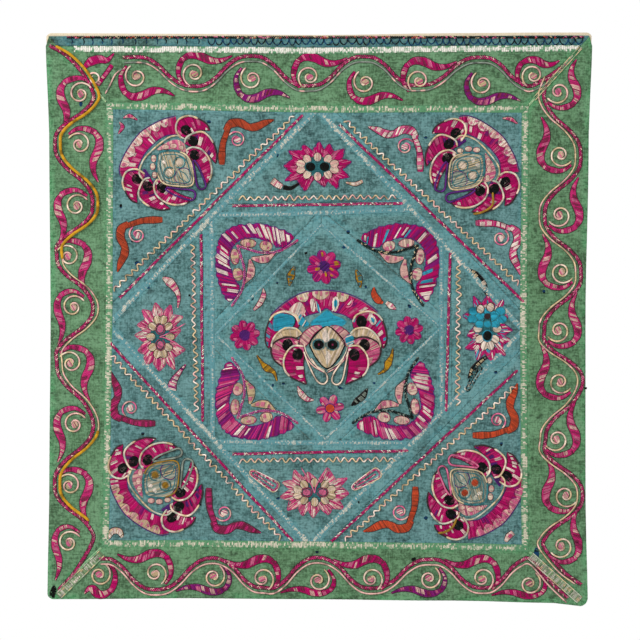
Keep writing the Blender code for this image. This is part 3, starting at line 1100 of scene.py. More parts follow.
# %% Seam trims
TRIMS = (
    # strip, braid (out, out, from, to), zigzag (out, out, from, to), in mm and shares of the strip's length
    ("outer_sash_tl", (-4, -9, 0.09, 0.95), (12, 0, 0.09, 0.93)),
    ("outer_sash_tr", (-11, 10, 0.09, 0.93), (0, 24, 0.09, 0.88)),
    ("outer_sash_br", (1, 19, 0.06, 0.89), (14, 34, 0.09, 0.85)),
    ("outer_sash_bl", (-1, -5, 0.05, 0.95), (11, 7, 0.08, 0.92)),
    ("middle_sash_top", (-2, -10, 0.10, 0.95), (9, 1, 0.13, 0.92)),
    ("middle_sash_left", (0, 0, 0.08, 0.92), (14, 10, 0.12, 0.88)),
    ("middle_sash_right", (-2, -9, 0.07, 0.99), (12, 9, 0.11, 0.96)),
    ("middle_sash_bottom", (3, -7, 0.09, 0.98), (14, 7, 0.12, 0.92)),
)
CENTRE = np.array((MIDDLE.x, -0.47))
BRAID_HALF = 2.3 * MM
GILT = "straw straw shell blush"
ZIGZAG_PITCH = 12.4 * MM
ZIGZAG_SWING = 3.2


def strip_lines(node):
    """A strip's outer edge as a start, a bearing and a length, and the direction away from the centre."""
    cloth = front_of(node)
    points = places_of(cloth)
    cloth.free()
    middle = points.mean(axis=0)
    bearing = np.linalg.svd(points - middle)[2][0]
    if bearing[0] < -0.3 or (abs(bearing[0]) <= 0.3 and bearing[1] > 0):
        bearing = -bearing
    out = np.array((-bearing[1], bearing[0]))
    out = out if out @ (middle - CENTRE) > 0 else -out
    along = points @ bearing
    start = bearing * along.min() + out * (points @ out).max()
    return start, bearing, np.ptp(along), out


def trim_line(lines, first, last, begin, end):
    """A line at its distances from the strip's outer edge, wandering a little."""
    start, bearing, length, out = lines
    share = np.linspace(begin, end, 60)
    level = np.linspace(first, last, 60) * MM
    line = start + bearing * (share * length)[:, None] + out * level[:, None]
    return line + out * (0.8 * MM * noisy(line, 45 * MM, 5.0))[:, None]


for node, braid, zigzag in TRIMS:
    lines = strip_lines(node)
    trim = Motif("trim_" + node, seed=len(needlework) + 11)
    line = trim_line(lines, *braid)
    # teal contours along both sides of the braid: partly outline thread, partly painted shadow
    for side in (-1, 1):
        trim.edge(sideways(line, side * BRAID_HALF), "teal", 0.6)
    trim.plait(line, "magenta", "blush shell pink", 0.3, 4.2, 3.1)
    line = trim_line(lines, *zigzag)
    points = resample(line, 2 * round(measure(line)[-1] / ZIGZAG_PITCH) + 1)
    swing = np.where(np.arange(len(points)) % 2, ZIGZAG_SWING, -ZIGZAG_SWING)
    swing = swing * trim.chance.normal(1, 0.16, len(points))
    points = sideways(points, swing * MM) + trim.chance.normal(0, 0.4 * MM, points.shape)
    path = smooth(points, fine=4)
    # painted shadow: a black tube, wider than the gilt cord, lies under it
    trim.edge(path, "black", 1.5)
    trim.cord(path, GILT, 1.25, 0.3, 2.4)
    trim.sew()

# %% Rails beside the mitre ribbons
MITRES = (
    # corner, its sides, ends as shares of the way from the frame's corner to the outline's, half width
    # and shift down in mm, dyes of the rails and of the ribbon
    ("tr", "top", "right", 0.04, 0.9, 2.4, 0, "straw sage", "green"),
    ("br", "bottom", "right", -0.04, 0.84, 5.8, 5, "straw silver", "sage silver"),
    ("bl", "bottom", "left", -0.06, 0.79, 5.4, 8, "straw sage silver", "sage sage silver"),
)
FRAME_IN = 0.11


def corner_of(node, corner):
    """The corner of a plan piece's box, as (across, up)."""
    low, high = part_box(node)
    return np.array((high.x if "r" in corner else low.x, high.z if "t" in corner else low.z))


rails = Motif("mitre_rails", seed=9)
for corner, first, second, begin, end, half, drop, dye, ribbon in MITRES:
    inner = corner_of("corner_patch_" + corner, corner)
    outer = np.mean([corner_of("border_" + side, corner) for side in (first, second)], axis=0)
    inner = inner + FRAME_IN * (outer - inner)
    line = inner + (outer - inner) * np.linspace(begin, end, 12)[:, None] - (0, drop * MM)
    for side in (-1, 1):
        path = sideways(line, side * half * MM)
        rails.edge(path, "green", 1.2, 0.5)
        rails.cord(path, dye, 0.9, 0.9)
    across = [sideways(line, side * (half - 0.6) * MM) for side in (-1, 1)]
    rails.fill(*across, ribbon, "silver straw shell", 0.3, lift=0.6)
rails.sew()

# %% [markdown]
# ## Vines in the border
#
# Each border strip carries one vine. It swings from side to side, and in every swing sits a coiled tendril
# and a magenta leaf that leaves the vine beside the coil, hooks round it and trails along the border. The
# vine is a braid with a pale cord beside it. One function draws a strip from a row of the table. The leaves
# turn the same way round the whole hanging: to the right along the top, down the left, to the left along
# the bottom and up the right.

# %% Vines
VINES = {
    # swings: share of the way along, and the coil's shift inwards in mm
    "top": (
        (0.15, -1), (0.26, -6), (0.37, 2), (0.48, -1),
        (0.586, 8), (0.689, 5), (0.81, 10), (0.907, -3),
    ),
    "left": (
        (0.1, 4), (0.19, 3), (0.3, -2), (0.39, -15), (0.48, -7),
        (0.58, -11), (0.689, -5), (0.798, -13), (0.9, -14),
    ),
    "bottom": (
        (0.102, -14), (0.19, -6), (0.289, -6), (0.397, -6), (0.496, -9),
        (0.6, -6), (0.691, -3), (0.8, 3), (0.904, 0),
    ),
    "right": (
        (0.1, -6), (0.189, -12), (0.288, 2), (0.389, -3), (0.48, -1),
        (0.583, -6), (0.683, -3), (0.789, -4), (0.9, -1),
    ),
}
SWINGS = {
    # first swing (1 inwards), shift in and width of the swing in mm, and where the vine is led in and out
    # (along, inwards, in mm)
    "top": (-1, -10, 23, ((-19, -22),), ((30, 6), (52, -10))),
    "left": (1, -6, 30, ((-75, -38), (-60, -13), (-34, 12)), ((48, 2), (77, -24))),
    "bottom": (1, 2, 24, ((-58, -38), (-29, -10)), ()),
    "right": (1, -8, 30, ((-59, -28), (-38, 0)), ((27, 20),)),
}
CROWDED = {
    # vine and leaf: how much of its length it trails, and how far it may reach out
    ("top", 7): (0.7, 0.8),
    ("right", 8): (0.86, 0.95),
    ("bottom", 8): (0.4, 1.0),
}
BORDER = {
    # which way the vine runs, which way is inwards, its cord's dye, side and share of the length
    "top": ((1, 0), (0, -1), "grey", 1, 0.955),
    "left": ((0, -1), (1, 0), "straw", 1, 0.88),
    "bottom": ((-1, 0), (0, 1), "blush", -1, 1.0),
    "right": ((0, 1), (-1, 0), "straw", 1, 1.0),
}
VINE_HALF = 2.8 * MM
CORD_AWAY = 8.6 * MM
GOLDEN = ((0.0, 0.40), (0.70, 0.87))
LEAF_ARM = ((-10, 11), (-15.5, 2), (-15, -8), (-11, -17))
LEAF_ARM_WIDE = (2.2, 3.8, 5.8, 5.2)
LEAF_BLADE = ((-13, -14), (-5, -19.5), (5, -19), (16, -14), (27, -14), (38, -19))
LEAF_BLADE_WIDE = (4, 7, 8.6, 7.6, 4.6, 1)
LEAF_REACH = 26 * UNIT
LEAF_BEHIND, LEAF_AHEAD = 20 * MM, 60 * MM
RIM_STEP = 10 * MM
RIM_NEAR = 8 * MM
LEAF_DYES = ("magenta", "magenta", "purple", "magenta")


def blade(motif, spine, widths, dye, pale, often=0.35):
    """A leaf of satin stitches that lie across it, between two edges that follow its spine."""
    spine = smooth(spine)
    wide = np.interp(np.linspace(0, 1, len(spine)), np.linspace(0, 1, len(widths)), widths) / 2
    one, other = sideways(spine, wide), sideways(spine, -wide)
    # an umber contour round the leaf: partly outline thread, partly painted shadow
    grow = 0.45 * MM / motif.reach
    for by in (1, -1):
        motif.edge(sideways(spine, by * (wide + grow)), "umber", 0.6)
    motif.fill(one, other, dye, pale, often, row=16, long_bars=True)


def swing_line(side, place, length, chance):
    """The vine's path: rounded swings from side to side, with its two ends led in and out."""
    sign, swing, lead_in, lead_out = (SWINGS[side][column] for column in (0, 2, 3, 4))
    turns = [share * length for share, shift in VINES[side]]
    points = [(turns[0] + a * MM, b * MM) for a, b in lead_in]
    for number, (at, after) in enumerate(zip(turns, turns[1:])):
        size = sign * (-1) ** number * swing * MM * chance.normal(1, 0.04)
        for share in (0.0, 0.2, 0.4, 0.6, 0.8):
            angle = math.pi * share
            bend = 1.08 * math.cos(angle) - 0.08 * math.cos(3 * angle)
            points.append((at + (after - at) * share, size * bend))
    points.append((turns[-1], sign * (-1) ** (len(turns) - 1) * swing * MM))
    points += [(turns[-1] + a * MM, b * MM) for a, b in lead_out]
    return resample(smooth([place(*point) for point in points]), 500)


def strip_rims(node, way, inwards):
    """The strip's inner and outer rims: places along it, and how far each lies towards its own side."""
    points = np.array([vertex.co for vertex in sheets[node][0].data.vertices])[:, [0, 2]]
    along, level = points @ way, points @ inwards
    places = np.arange(along.min() + 6 * MM, along.max(), RIM_STEP)
    near = [level[abs(along - place) < RIM_NEAR] for place in places]
    inner, outer = np.array([(part.max(), -part.min()) for part in near]).T
    return (places, inner), (places, outer)


def tendril(leaf, dye, up, trail, squeeze):
    """One swing's leaf and coil. The leaf trails along the border and is squeezed towards the vine."""
    for spine, widths in ((LEAF_ARM, LEAF_ARM_WIDE), (LEAF_BLADE, LEAF_BLADE_WIDE)):
        spine = np.array([(x * trail if x > 0 else x, y * squeeze if y < 0 else y) for x, y in spine])
        widths = np.array(widths) * (0.4 + 0.6 * squeeze)
        blade(leaf, spine * up, widths, dye, "pink blush maroon", 0.42)
    ring = coil(12.5, 2.6, 118, 1.42)
    ring = ring * up * np.linspace(1, 0.95, len(ring))[:, None]
    # painted shadow: an umber tube, wider than the coil's cord, lies under it
    leaf.edge(ring, "umber", 1.9)
    leaf.cord(ring, "blush straw cream", 1.45, 0.3)
    leaf.satin(ellipse((0.4, 0.4) * up, 3.7, 3.1), "blush straw pink", 30, lift=0.7)


def vine(side, seed):
    """The whole vine of one border strip."""
    sign, shift = SWINGS[side][:2]
    way, inwards, dye, hand, kept = BORDER[side]
    way, inwards = np.array(way, float), np.array(inwards, float)
    low, high = (np.array((corner.x, corner.z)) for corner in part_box("border_" + side))
    begin = np.where(way > 0, low, np.where(way < 0, high, (low + high) / 2))
    length = abs((high - low) @ way)
    rims = strip_rims("border_" + side, way, inwards)
    motif = Motif("vine_" + side, seed=seed)

    def place(along, inward):
        return begin + way * along + inwards * (inward + shift * MM)

    line = swing_line(side, place, length, motif.chance)
    # umber contours along both sides of the braid: partly outline thread, partly painted shadow
    for by in (-1, 1):
        motif.edge(sideways(line, by * VINE_HALF), "umber", 0.7)
    motif.plait(line, "rose magenta maroon", "blush pink", 0.24, 5.0, 3.4)
    beside = line + inwards * hand * CORD_AWAY
    beside = beside[: round(kept * len(beside))]
    # painted shadow: an umber tube, wider than the cord, lies under it
    motif.edge(beside, "umber", 1.7)
    motif.cord(beside, f"{dye} {dye} blush", 1.3, 0.3)

    turn = math.degrees(math.atan2(way[1], way[0]))
    for number, (share, shift_in) in enumerate(VINES[side]):
        toward = inwards * sign * (-1) ** number
        up = np.array((1, 1 if toward @ np.array((-way[1], way[0])) > 0 else -1))
        centre = begin + way * (share * length + 1.5 * MM) + inwards * shift_in * MM
        under = np.linspace(centre @ way - LEAF_BEHIND, centre @ way + LEAF_AHEAD, 9)
        room = np.interp(under, *rims[toward @ inwards > 0]).min() + (toward @ inwards) * (centre @ inwards)
        squeeze = min(1.0, max(0.4, (room - 3 * MM) / LEAF_REACH))
        trail, squeeze = CROWDED.get((side, number), (1.0, squeeze))
        leaf_dye = LEAF_DYES[number % 4] if side in ("top", "bottom") else "rose"
        tendril(motif.board(centre, turn, seed * 40 + number), leaf_dye, up, trail, squeeze)
    if side == "left":
        down = (high[1] - beside[:, 1]) / length
        for top, bottom in GOLDEN:
            motif.cord(beside[(down > top) & (down < bottom)], "gold", 2.5, 0.4)
    motif.sew()


for number, side in enumerate(SIDES):
    vine(side, 20 + number)

# %% [markdown]
# ## The blossom
#
# The large flower is a bud cupped by pairs of petals under one wide fan. It is the same pattern in the four
# corner patches and, broader, in the middle, so each outline comes in two versions. They are drawn on the
# board for the right-hand side and turned over for the left. The board counts in percent of the distance
# from the bud to the fan's rim. Petals are magenta satin with pale bars, a cream cord round the outside and
# a black eye near the root, and each lies over the one before.

# %% Blossom outlines
FANS = {
    # rim, inner edge, lobes as percent of the rim
    "corner": (
        ((-80, 50), (-70, 63), (-47, 73), (-21, 79), (0, 81), (15, 79), (44, 70), (68, 57)),
        ((-57, 33), (-44, 41), (-20, 49), (9, 50), (30, 45), (46, 32)),
        ((11, 24), (24, 39), (39, 54), (54, 68), (68, 80), (80, 90)),
    ),
    "middle": (
        ((-92, 40), (-82, 50), (-63.5, 65), (-38, 78), (-6, 82), (25, 79), (53, 69), (74, 56), (86, 46)),
        ((-60, 36), (-40, 38), (-28, 42), (-10, 47), (0, 53), (12, 47), (30, 42), (46, 32)),
        ((27, 38), (41, 55), (62, 72)),
    ),
}
PETALS = {
    # outer edge, inner edge between the outer one's ends, eye, share of the outer edge that has a cord,
    # dyes, pale bars
    "corner": (
        (((46, 22), (51, 40), (67, 49), (85, 41), (94, 23), (97, 7), (93, -5)),
         ((59, 15), (79, 9)), (63, 26), 0.66, "magenta", "shell pink"),
        (((44, 11), (55, 16), (73, 10), (83, 0), (83, -20), (73, -42), (58, -55)),
         ((48, -2), (56, -14), (60, -30)), (58, 3), 0.72, "magenta magenta rose", "shell pink violet"),
        (((36, 0), (49, -4), (58, -19), (56, -40), (45, -58), (30, -68), (16, -70)),
         ((31, -11), (32, -26), (26, -50)), (42, -17), 0.85, "magenta magenta rose", "shell pink"),
    ),
    "middle": (
        (((44, 30), (51, 42), (68, 48), (83, 44), (93, 34), (100, 13), (100, -4), (95, -14)),
         ((48, 19), (74, 16), (85, 5)), (59, 31), 0.6, "magenta", "shell cyan pink"),
        (((40, 10), (50, 19), (68, 20), (83, 9), (90, -5), (90, -20)),
         ((50, 4), (68, 6), (80, -2)), None, 0.9, "straw cream", ""),
        (((44, 0), (60, 5), (80, 0), (91, -12), (87, -31), (72, -44)),
         ((50, -12), (62, -20), (68, -33)), (64, -8), 0.0, "pink rose", "blush"),
        (((37, -10), (55, -10), (68, -25), (70, -44), (60, -60), (32, -73.5)),
         ((36, -25), (37, -40), (35, -60)), (47, -24), 0.8, "magenta", "shell pink"),
    ),
}
COLOURS = {
    # scallops, loops, dots, shield's cord, extra cord
    "tl": ("blush shell", "violet", "cream", "straw", None),
    "tr": ("blush shell", "violet", "cream", "straw", "ochre"),
    "bl": ("blush straw", "grey", "ochre", "ochre", None),
    "br": ("blush pink", "pink", "rust", "straw", "ochre"),
    "middle": ("cream straw", "cream", "black", "shell", None),
}
EXTRAS = {
    # the extra cord's route
    "tr": ((60, -3), (76, -20), (72, -42), (63, -56)),
    "br": ((55, 15), (72, 21), (88, 18), (99, 10)),
}


# %% Blossom parts
def fan(motif, kind, scallops):
    """The wide fan of satin, with pale lobes round its rim."""
    outer, inner, lobes = FANS[kind]
    outer, inner = smooth(outer), smooth(inner)
    motif.edge(sideways(outer, 1.2), "violet", 0.8)
    motif.edge(inner, "violet", 0.8)
    motif.fill(inner, outer, "magenta magenta rose", "shell pink purple", 0.26, row=13)
    rim = resample(outer, 101)
    for low, high in lobes:
        base = rim[low : high + 1]
        bulge = np.sin(np.linspace(0.08, np.pi - 0.08, len(base))) ** 0.4
        bulge = sideways(base, -15 * bulge)
        motif.edge(bulge, "maroon", 0.7, 0.7)
        motif.fill(base, bulge, scallops, "pink", 0.15, lift=0.75)


def eye(motif, centre, wide, tall, turn, lift):
    """A black eye with a small dull glint."""
    motif.satin(ellipse(centre, wide, tall, turn), "black", turn + 90, 1.3, lift, 0.8)
    glint = ellipse(centre + motif.chance.normal(0, 3, 2), 1.4, 3, motif.chance.uniform(-30, 40))
    motif.satin(glint, "umber", 90, 1.3, lift + 0.6)


def petals(motif, kind):
    """The cupping petals, each pair over the one before."""
    for number, (outer, inner, centre, corded, dye, pale) in enumerate(PETALS[kind]):
        for hand in (1, -1):
            lift = 0.3 + 0.35 * number
            rim = smooth(outer) * (hand, 1)
            root = smooth([outer[0], *inner, outer[-1]]) * (hand, 1)
            # umber contours round the petal: partly outline thread, partly painted shadow under the rim's
            # cord
            motif.edge(rim, "umber", 1.7, lift)
            motif.edge(root, "umber", 0.8, lift)
            motif.fill(root, rim, dye, pale, 0.26, row=14, lift=lift)
            if corded:
                cord = rim[: round(corded * len(rim))]
                motif.cord(cord, "straw cream silver", 1.6, lift + 0.5)
            if centre:
                eye(motif, np.array(centre) * (hand, 1), 8.8, 10.8, 10 * hand, lift + 0.7)


CORNER_BUD = {
    "halo": ((-56, 16), (-53, 30), (-37, 40), (-21, 43.5), (5, 43), (31, 39), (44.5, 30), (50, 16)),
    "lilac": ((0, 38.5), (25, 34.5), (40, 25), (43, 10), (33, -2), (28, 10), (14, 26)),
    "upper violet": ((-40, 32), (-50, 22), (-50, 6), (-42, 12)),
    "lower violet": ((-46, 4), (-50, -6), (-40, -12), (-36, -2)),
    "shield": (
        (-1, 30), (15, 20), (26, 6), (30, -10), (22, -29), (1, -50),
        (-22, -30), (-33, -11), (-28, 7), (-17, 20),
    ),
    "leaf": ((0, -14), (12, -20), (15, -30), (4, -44)),
    "vein": ((2, -16), (6, -30), (2, -43)),
}


def corner_bud(motif, dots, outline):
    """The bud of a corner blossom: a pale shield with two dotted circles, under a halo of cord."""
    lift, detail = 0.9, 1.4
    halo = smooth(CORNER_BUD["halo"])
    # painted shadow: a teal tube, wider than the halo's cord, lies under it
    motif.edge(halo, "teal", 1.9)
    motif.cord(halo, "straw silver", 1.4, 0.6)
    motif.satin(CORNER_BUD["lilac"], "pink blush", 60, lift=0.4)
    for part in ("upper violet", "lower violet"):
        motif.satin(CORNER_BUD[part], "violet", 80, lift=0.4)
    for along, up, wide in ((15, 31, 6), (26.5, 22, 6), (35, 9, 5.5)):
        for hand in (1, -1):
            place = np.array((along * hand, up))
            lobe = ellipse(place, wide, wide * 0.72, -45 * hand)
            motif.satin(lobe, "blush cream", 45 * hand, lift=0.9)
            motif.edge(ellipse(place, wide * 1.08, wide * 0.8, -45 * hand, 12), "maroon", 0.5, 0.8)
    motif.satin(CORNER_BUD["shield"], "silver grey grey straw", 62, lift=lift)
    ring = smooth(CORNER_BUD["shield"], closed=True)
    # a teal contour round the shield, under its cord: partly outline thread, partly painted shadow
    motif.edge(ring * 1.03, "teal", 1.5, lift)
    motif.cord(ring[16:66] * 1.04, outline, 1.25, detail)
    motif.edge(ring * (0.82, 0.84) + (0, -2), "teal", 0.8, detail)
    for hand in (1, -1):
        for part, dye in (("leaf", "violet"), ("vein", "teal")):
            motif.edge(smooth(np.array(CORNER_BUD[part]) * (hand, 1)), dye, 0.7, detail)
        centre = np.array((13 * hand, -7))
        motif.cord(ellipse(centre, 10, 10, 90 + 90 * hand, 20), "teal", 1.0, detail)
        motif.satin(ellipse(centre, 6.2, 6.2), dots, 90, lift=lift + 0.8)
        seed = ellipse((6 * hand, 13), 5, 3.5, 30 * hand)
        motif.satin(seed, "shell silver", 90, lift=detail)


MIDDLE_BUD = {
    "left half": ((2, 23), (-14, 13), (-27, -4), (-24, -16), (-12, -36), (2, -47)),
    "cyan cap": ((-26, 30), (-10, 42), (2, 50), (14, 42), (34, 33), (28, 24), (2, 21), (-24, 24)),
    "cheek": ((6, 22), (20, 24), (36, 14), (44, 0), (40, -12), (30, -6), (20, 10)),
    "cup": ((40, -6), (35, -24), (22, -42), (2, -54)),
    "half": ((0, 23), (14, 13), (27, -4), (25, -16), (13, -36), (0, -47), (0, -10)),
    "upper seed": ((-6, 10), (0, 17), (6, 5), (3, -3), (-4, -3)),
    "lower seed": ((0, -18), (8, -24), (5, -36), (0, -40)),
}


def middle_bud(motif):
    """The bud of the middle blossom: two straw halves with an eye each, in two cords like a cup."""
    lift = 1.0
    left = MIDDLE_BUD["left half"]
    ring = smooth([*left, *((4 - x, z) for x, z in left[-2:0:-1])], closed=True)
    motif.satin(MIDDLE_BUD["cyan cap"], "cyan", 8, lift=0.3)
    for hand in (1, -1):
        cheek = np.array(MIDDLE_BUD["cheek"]) * (hand, 1)
        motif.satin(cheek, "blush blush pink", 40 * hand, lift=0.5)
        motif.edge(smooth(cheek, closed=True), "maroon", 0.8, 0.5)
        cup = smooth(np.array(MIDDLE_BUD["cup"]) * (hand, 1))
        # painted shadow: a black tube, wider than the cup's cord, lies under it
        motif.edge(cup, "black", 1.5, 0.5)
        motif.cord(cup, "pink blush", 1.1, 0.8)
        motif.cord(cup * (0.92, 0.955) + (0, 1), "cream", 0.8, 0.7)
        half = np.array(MIDDLE_BUD["half"]) * (hand, 1) + (2, 0)
        motif.satin(half, "straw cream", 90 - 25 * hand, lift=lift)
    for part in ("upper seed", "lower seed"):
        motif.satin(MIDDLE_BUD[part], "shell", 60, lift=lift + 0.4)
    motif.edge(ring, "black", 1.0, lift)
    motif.edge([(2, 20), (1.5, -10), (2, -44)], "grey", 0.7, lift + 0.6)
    for hand in (1, -1):
        centre = np.array((-0.5 + 11.5 * hand, -7.5))
        motif.satin(ellipse(centre, 11.8, 10.5), "teal grey", 90, lift=lift + 0.4)
        motif.satin(ellipse(centre, 8.4, 8), "black", 90, 1.3, lift + 1.0)
        motif.satin(ellipse(centre, 1.6, 2), "maroon", 90, lift=lift + 1.6)


PATCHES = (
    # outline, dyes, turn of the stitches
    (((-62, 48), (-50, 62), (-40, 62), (-34, 47), (-45, 40)), "shell blush", 70),
    (((-47, 42), (-42, 50), (-38, 38), (-28, 27), (-36, 22), (-46, 28)), "cyan cyan shell", 60),
    (((-86, 42), (-68, 44), (-52, 38), (-55, 22), (-70, 18), (-88, 16)), "cyan", 12),
    (((10, 60), (13, 71), (19, 72), (22, 62), (17, 48), (12, 50)), "shell", 90),
    (((13, 61), (16, 69), (19, 62), (16, 52)), "cyan", 90),
    (((-26, 66), (-20, 68), (-18, 50), (-24, 48)), "shell", 80),
    (((-17, 66), (-13, 60), (-8, 46), (-15, 50)), "cyan shell", 100),
    (((72, 42), (80, 40), (84, 30), (78, 25), (72, 32)), "shell", 70),
    (((75, 38), (80, 35), (80, 29), (76, 31)), "cyan", 70),
    (((32, 4), (40, 10), (47, 3), (44, -7), (34, -7)), "shell cyan", 20),
)


def patches(motif):
    """Where the silk was mended in the middle: white and cyan stitches over the fan and one petal."""
    for outline, dye, turn in PATCHES:
        motif.satin(outline, dye, turn, lift=2.0 if dye == "cyan" else 1.5)
    motif.cord(smooth([(33, 55), (40, 56), (44, 63), (42, 70)]), "pink", 1.0, 0.9)
    motif.cord(smooth([(-84, 44), (-68, 47), (-52, 40), (-46, 30)]), "cream", 1.1, 1.8)


DROPS = {
    # right, left
    "corner": (
        ((33, -22), (19, -41), (6, -60), (7, -70), (17, -71), (26, -53), (34, -33)),
        ((-37, -22), (-21, -41), (-6, -60), (-9, -70), (-20, -71), (-31, -52), (-38, -33)),
    ),
    "middle": (
        ((37, -18), (33, -40), (27, -66), (18, -74), (10, -68), (13, -55), (23, -40), (30, -27)),
        ((-37, -18), (-29, -40), (-16, -66), (-5, -73), (2, -67), (0, -55), (-13, -46), (-25, -30)),
    ),
}


def loops(motif, dye, kind):
    """Two teardrops of cord that hang beside the bud."""
    for drop in DROPS[kind]:
        path = smooth(drop, closed=kind == "corner")
        size = 1.5 if kind == "corner" else 1.3
        # painted shadow: an umber tube, wider than the cord, lies under it
        motif.edge(path, "umber", size + 0.5, 0.9)
        motif.cord(path, dye, size, 1.2)


def blossom(name, across, up, turn, size, seed):
    kind, node = ("corner", "corner_patch_" + name) if name in CORNERS else ("middle", "middle_patch")
    scallops, loop, dots, outline, extra = COLOURS[name]
    motif = Motif("blossom_" + name, spot(node, across, up), size / 100 * MM, turn, seed=seed)
    fan(motif, kind, scallops)
    petals(motif, kind)
    loops(motif, loop, kind)
    if kind == "middle":
        middle_bud(motif)
        patches(motif)
    else:
        corner_bud(motif, dots, outline)
    if extra:
        motif.cord(smooth(EXTRAS[name]), extra, 1.9, 1.9)
    motif.sew()


BLOSSOMS = (
    # name, share across, share up, turn, size in mm, seed
    ("tl", 0.326, 0.706, 45, 88, 50),
    ("tr", 0.713, 0.711, -45, 88, 51),
    ("bl", 0.277, 0.308, 135, 88, 52),
    ("br", 0.734, 0.287, -135, 88, 53),
    ("middle", 0.489, 0.462, 0, 96, 60),
)
for row in BLOSSOMS:
    blossom(*row)

# %% [markdown]
# ## Star flowers
#
# In each triangle beside the square sits a star: a ragged crown of satin leaves, a ring of cream lobes
# inside it, and two eyes. Its drawing board counts in units of 1.6 mm, and up on the board points away from
# the middle of the hanging. The leaves are uneven by hand, so the table places every tip and every hollow
# between two tips.

# %% Star flowers
CROWN = (
    # tip, then the hollow after it
    (3, 25), (-4, 16), (-12, 22), (-16, 16), (-27, 16), (-23, 8), (-32, 1), (-24, -6),
    (-31, -14), (-19, -13), (-11, -24), (-2, -12), (8, -20), (12, -14), (21, -22), (23, -12),
    (33, -10), (26, -3), (35, 5), (26, 8), (28, 18), (18, 15), (13, 23), (8, 17),
)
STARS = (
    # side, share across, share up, turn, leaves, pale bars, lobes, eyes, rings
    ("top", 0.515, 0.397, 0, "magenta", "pink", "cream blush", "black", "teal"),
    ("left", 0.55, 0.445, 90, "pink rose blush", "shell rose", "straw cream", "pink", "maroon"),
    ("right", 0.50, 0.50, -90, "magenta rose", "shell cyan", "shell cream", "black", "cyan"),
    ("bottom", 0.516, 0.566, 180, "pink rose blush", "shell shell rose", "cream straw", "pink", "maroon"),
)
HEART = (
    # cyan lobes on the board of the right-hand star: place, half sizes
    ((-16, 13), 4.2, 5.0), ((-16, -14), 4.2, 5.0), ((-8, 14), 4.4, 5.4), ((-8, -15), 4.4, 5.0),
    ((-3, 8), 4.0, 4.6), ((-3, -8), 4.0, 4.6), ((-3, 0), 3.6, 4.4), ((-12, 7), 4.4, 5.0),
    ((-12, -7), 4.4, 5.0),
)
STAR_EYES = {
    # eyes: distance from the middle, half sizes of the ring, half sizes of the eye
    "black": (7.0, (6.0, 5.4), (4.9, 4.6)),
    "pink": (8.0, (5.6, 4.6), (3.9, 3.2)),
}
HUB = 1.5  # the lobes' middle, to the right of the crown's


def polar(angle, wide, tall):
    """Points on an ellipse, at angles in degrees."""
    angle = np.radians(angle)
    return np.column_stack([np.cos(angle) * wide, np.sin(angle) * tall])


def crown(motif, leaves, pale):
    """The ragged crown, each leaf from its hollows to its tip."""
    contour = "violet" if leaves.startswith("magenta") else "rose"
    ring = np.array(CROWN, float)
    for number in range(0, len(ring), 2):
        before, tip, after = ring[number - 1], ring[number], ring[number + 1]
        rim = smooth([before, 0.42 * before + 0.6 * tip, tip, 0.42 * after + 0.6 * tip, after])
        one, other = (math.atan2(hollow[1] / 9, hollow[0] / 17) for hollow in (before, after))
        other += 2 * math.pi if other < one - 0.01 else 0
        root = polar(np.degrees(np.linspace(one, other, 9)), 16, 8.5) + (HUB, 0)
        motif.edge(rim * 1.02, contour, 0.6)
        rim = rim + motif.chance.normal(0, 0.5, rim.shape)
        motif.fill(root, rim, leaves, pale, 0.5, row=14, lift=0.2)


def cyan_heart(motif, lobes):
    """The half of the right-hand star that was worked over in cyan."""
    for number, (place, wide, tall) in enumerate(HEART):
        motif.edge(ellipse(place, wide, tall, 0, 14), "teal", 0.8, 1.5)
        motif.satin(ellipse(place, wide * 0.9, tall * 0.9), "cyan", 90 if number % 2 else 40, lift=1.7)
    for place in ((-20, 3), (-18, -7)):
        motif.edge(ellipse(place, 4.6, 4.0, 0, 12), "umber", 0.8, 2.0)
        motif.satin(ellipse(place, 4.2, 3.6), lobes, 60, lift=2.2)
    motif.satin(ellipse((-11, 0), 3.0, 3.4), "umber", 30, 1.2, 2.3)


def star(side, across, up, turn, leaves, pale, lobes, eyes, rings, seed):
    motif = Motif("star_" + side, spot("flower_patch_" + side, across, up), UNIT, turn, seed=seed)
    crown(motif, leaves, pale)
    motif.satin(ellipse((HUB, 0), 18, 10), "teal", 0, lift=0.7)
    half_cyan = side == "right"
    for angle in range(18, 378, 36):
        place = polar(np.array([angle]), 17.5, 9.5)[0] + (HUB, 0)
        hidden = half_cyan and 90 < angle < 250
        motif.edge(ellipse(place, 5.0, 4.0, angle, 12), "umber", 0.7, 1.0)
        motif.satin(ellipse(place, 4.6, 3.6, angle), "cyan" if hidden else lobes, angle, lift=1.2)
    if half_cyan:
        cyan_heart(motif, lobes)
    apart, ring_size, eye_size = STAR_EYES[eyes]
    for hand in (1,) if half_cyan else (1, -1):
        centre = np.array((HUB + apart * hand, 0))
        if eyes == "black":
            motif.satin(ellipse(centre, *ring_size), rings, 90, lift=1.6)
        else:
            motif.cord(ellipse(centre, *ring_size), rings, 0.8, 1.4)
        motif.satin(ellipse(centre, *eye_size), eyes, 60, 1.2, 2.2)
        if side in ("left", "bottom"):
            line = smooth([(HUB, 1), (2 + 2 * hand, -6), (2 + 7 * hand, -15), (2 + 13 * hand, -25)])
            motif.cord(line, leaves.split()[0], 0.9, 1.6)
    motif.sew()


for number, row in enumerate(STARS):
    star(*row, seed=70 + number)

# %% [markdown]
# ## Wings in the square's corners
#
# Each corner of the square holds a bracket-shaped wing, worked from the corner inwards: a band of purple
# satin with white bars, a bent stem across it, cream buds above the stem and a pair of pale leaves below.
# Two of the stems are black chain with tan flecks and two are pink.

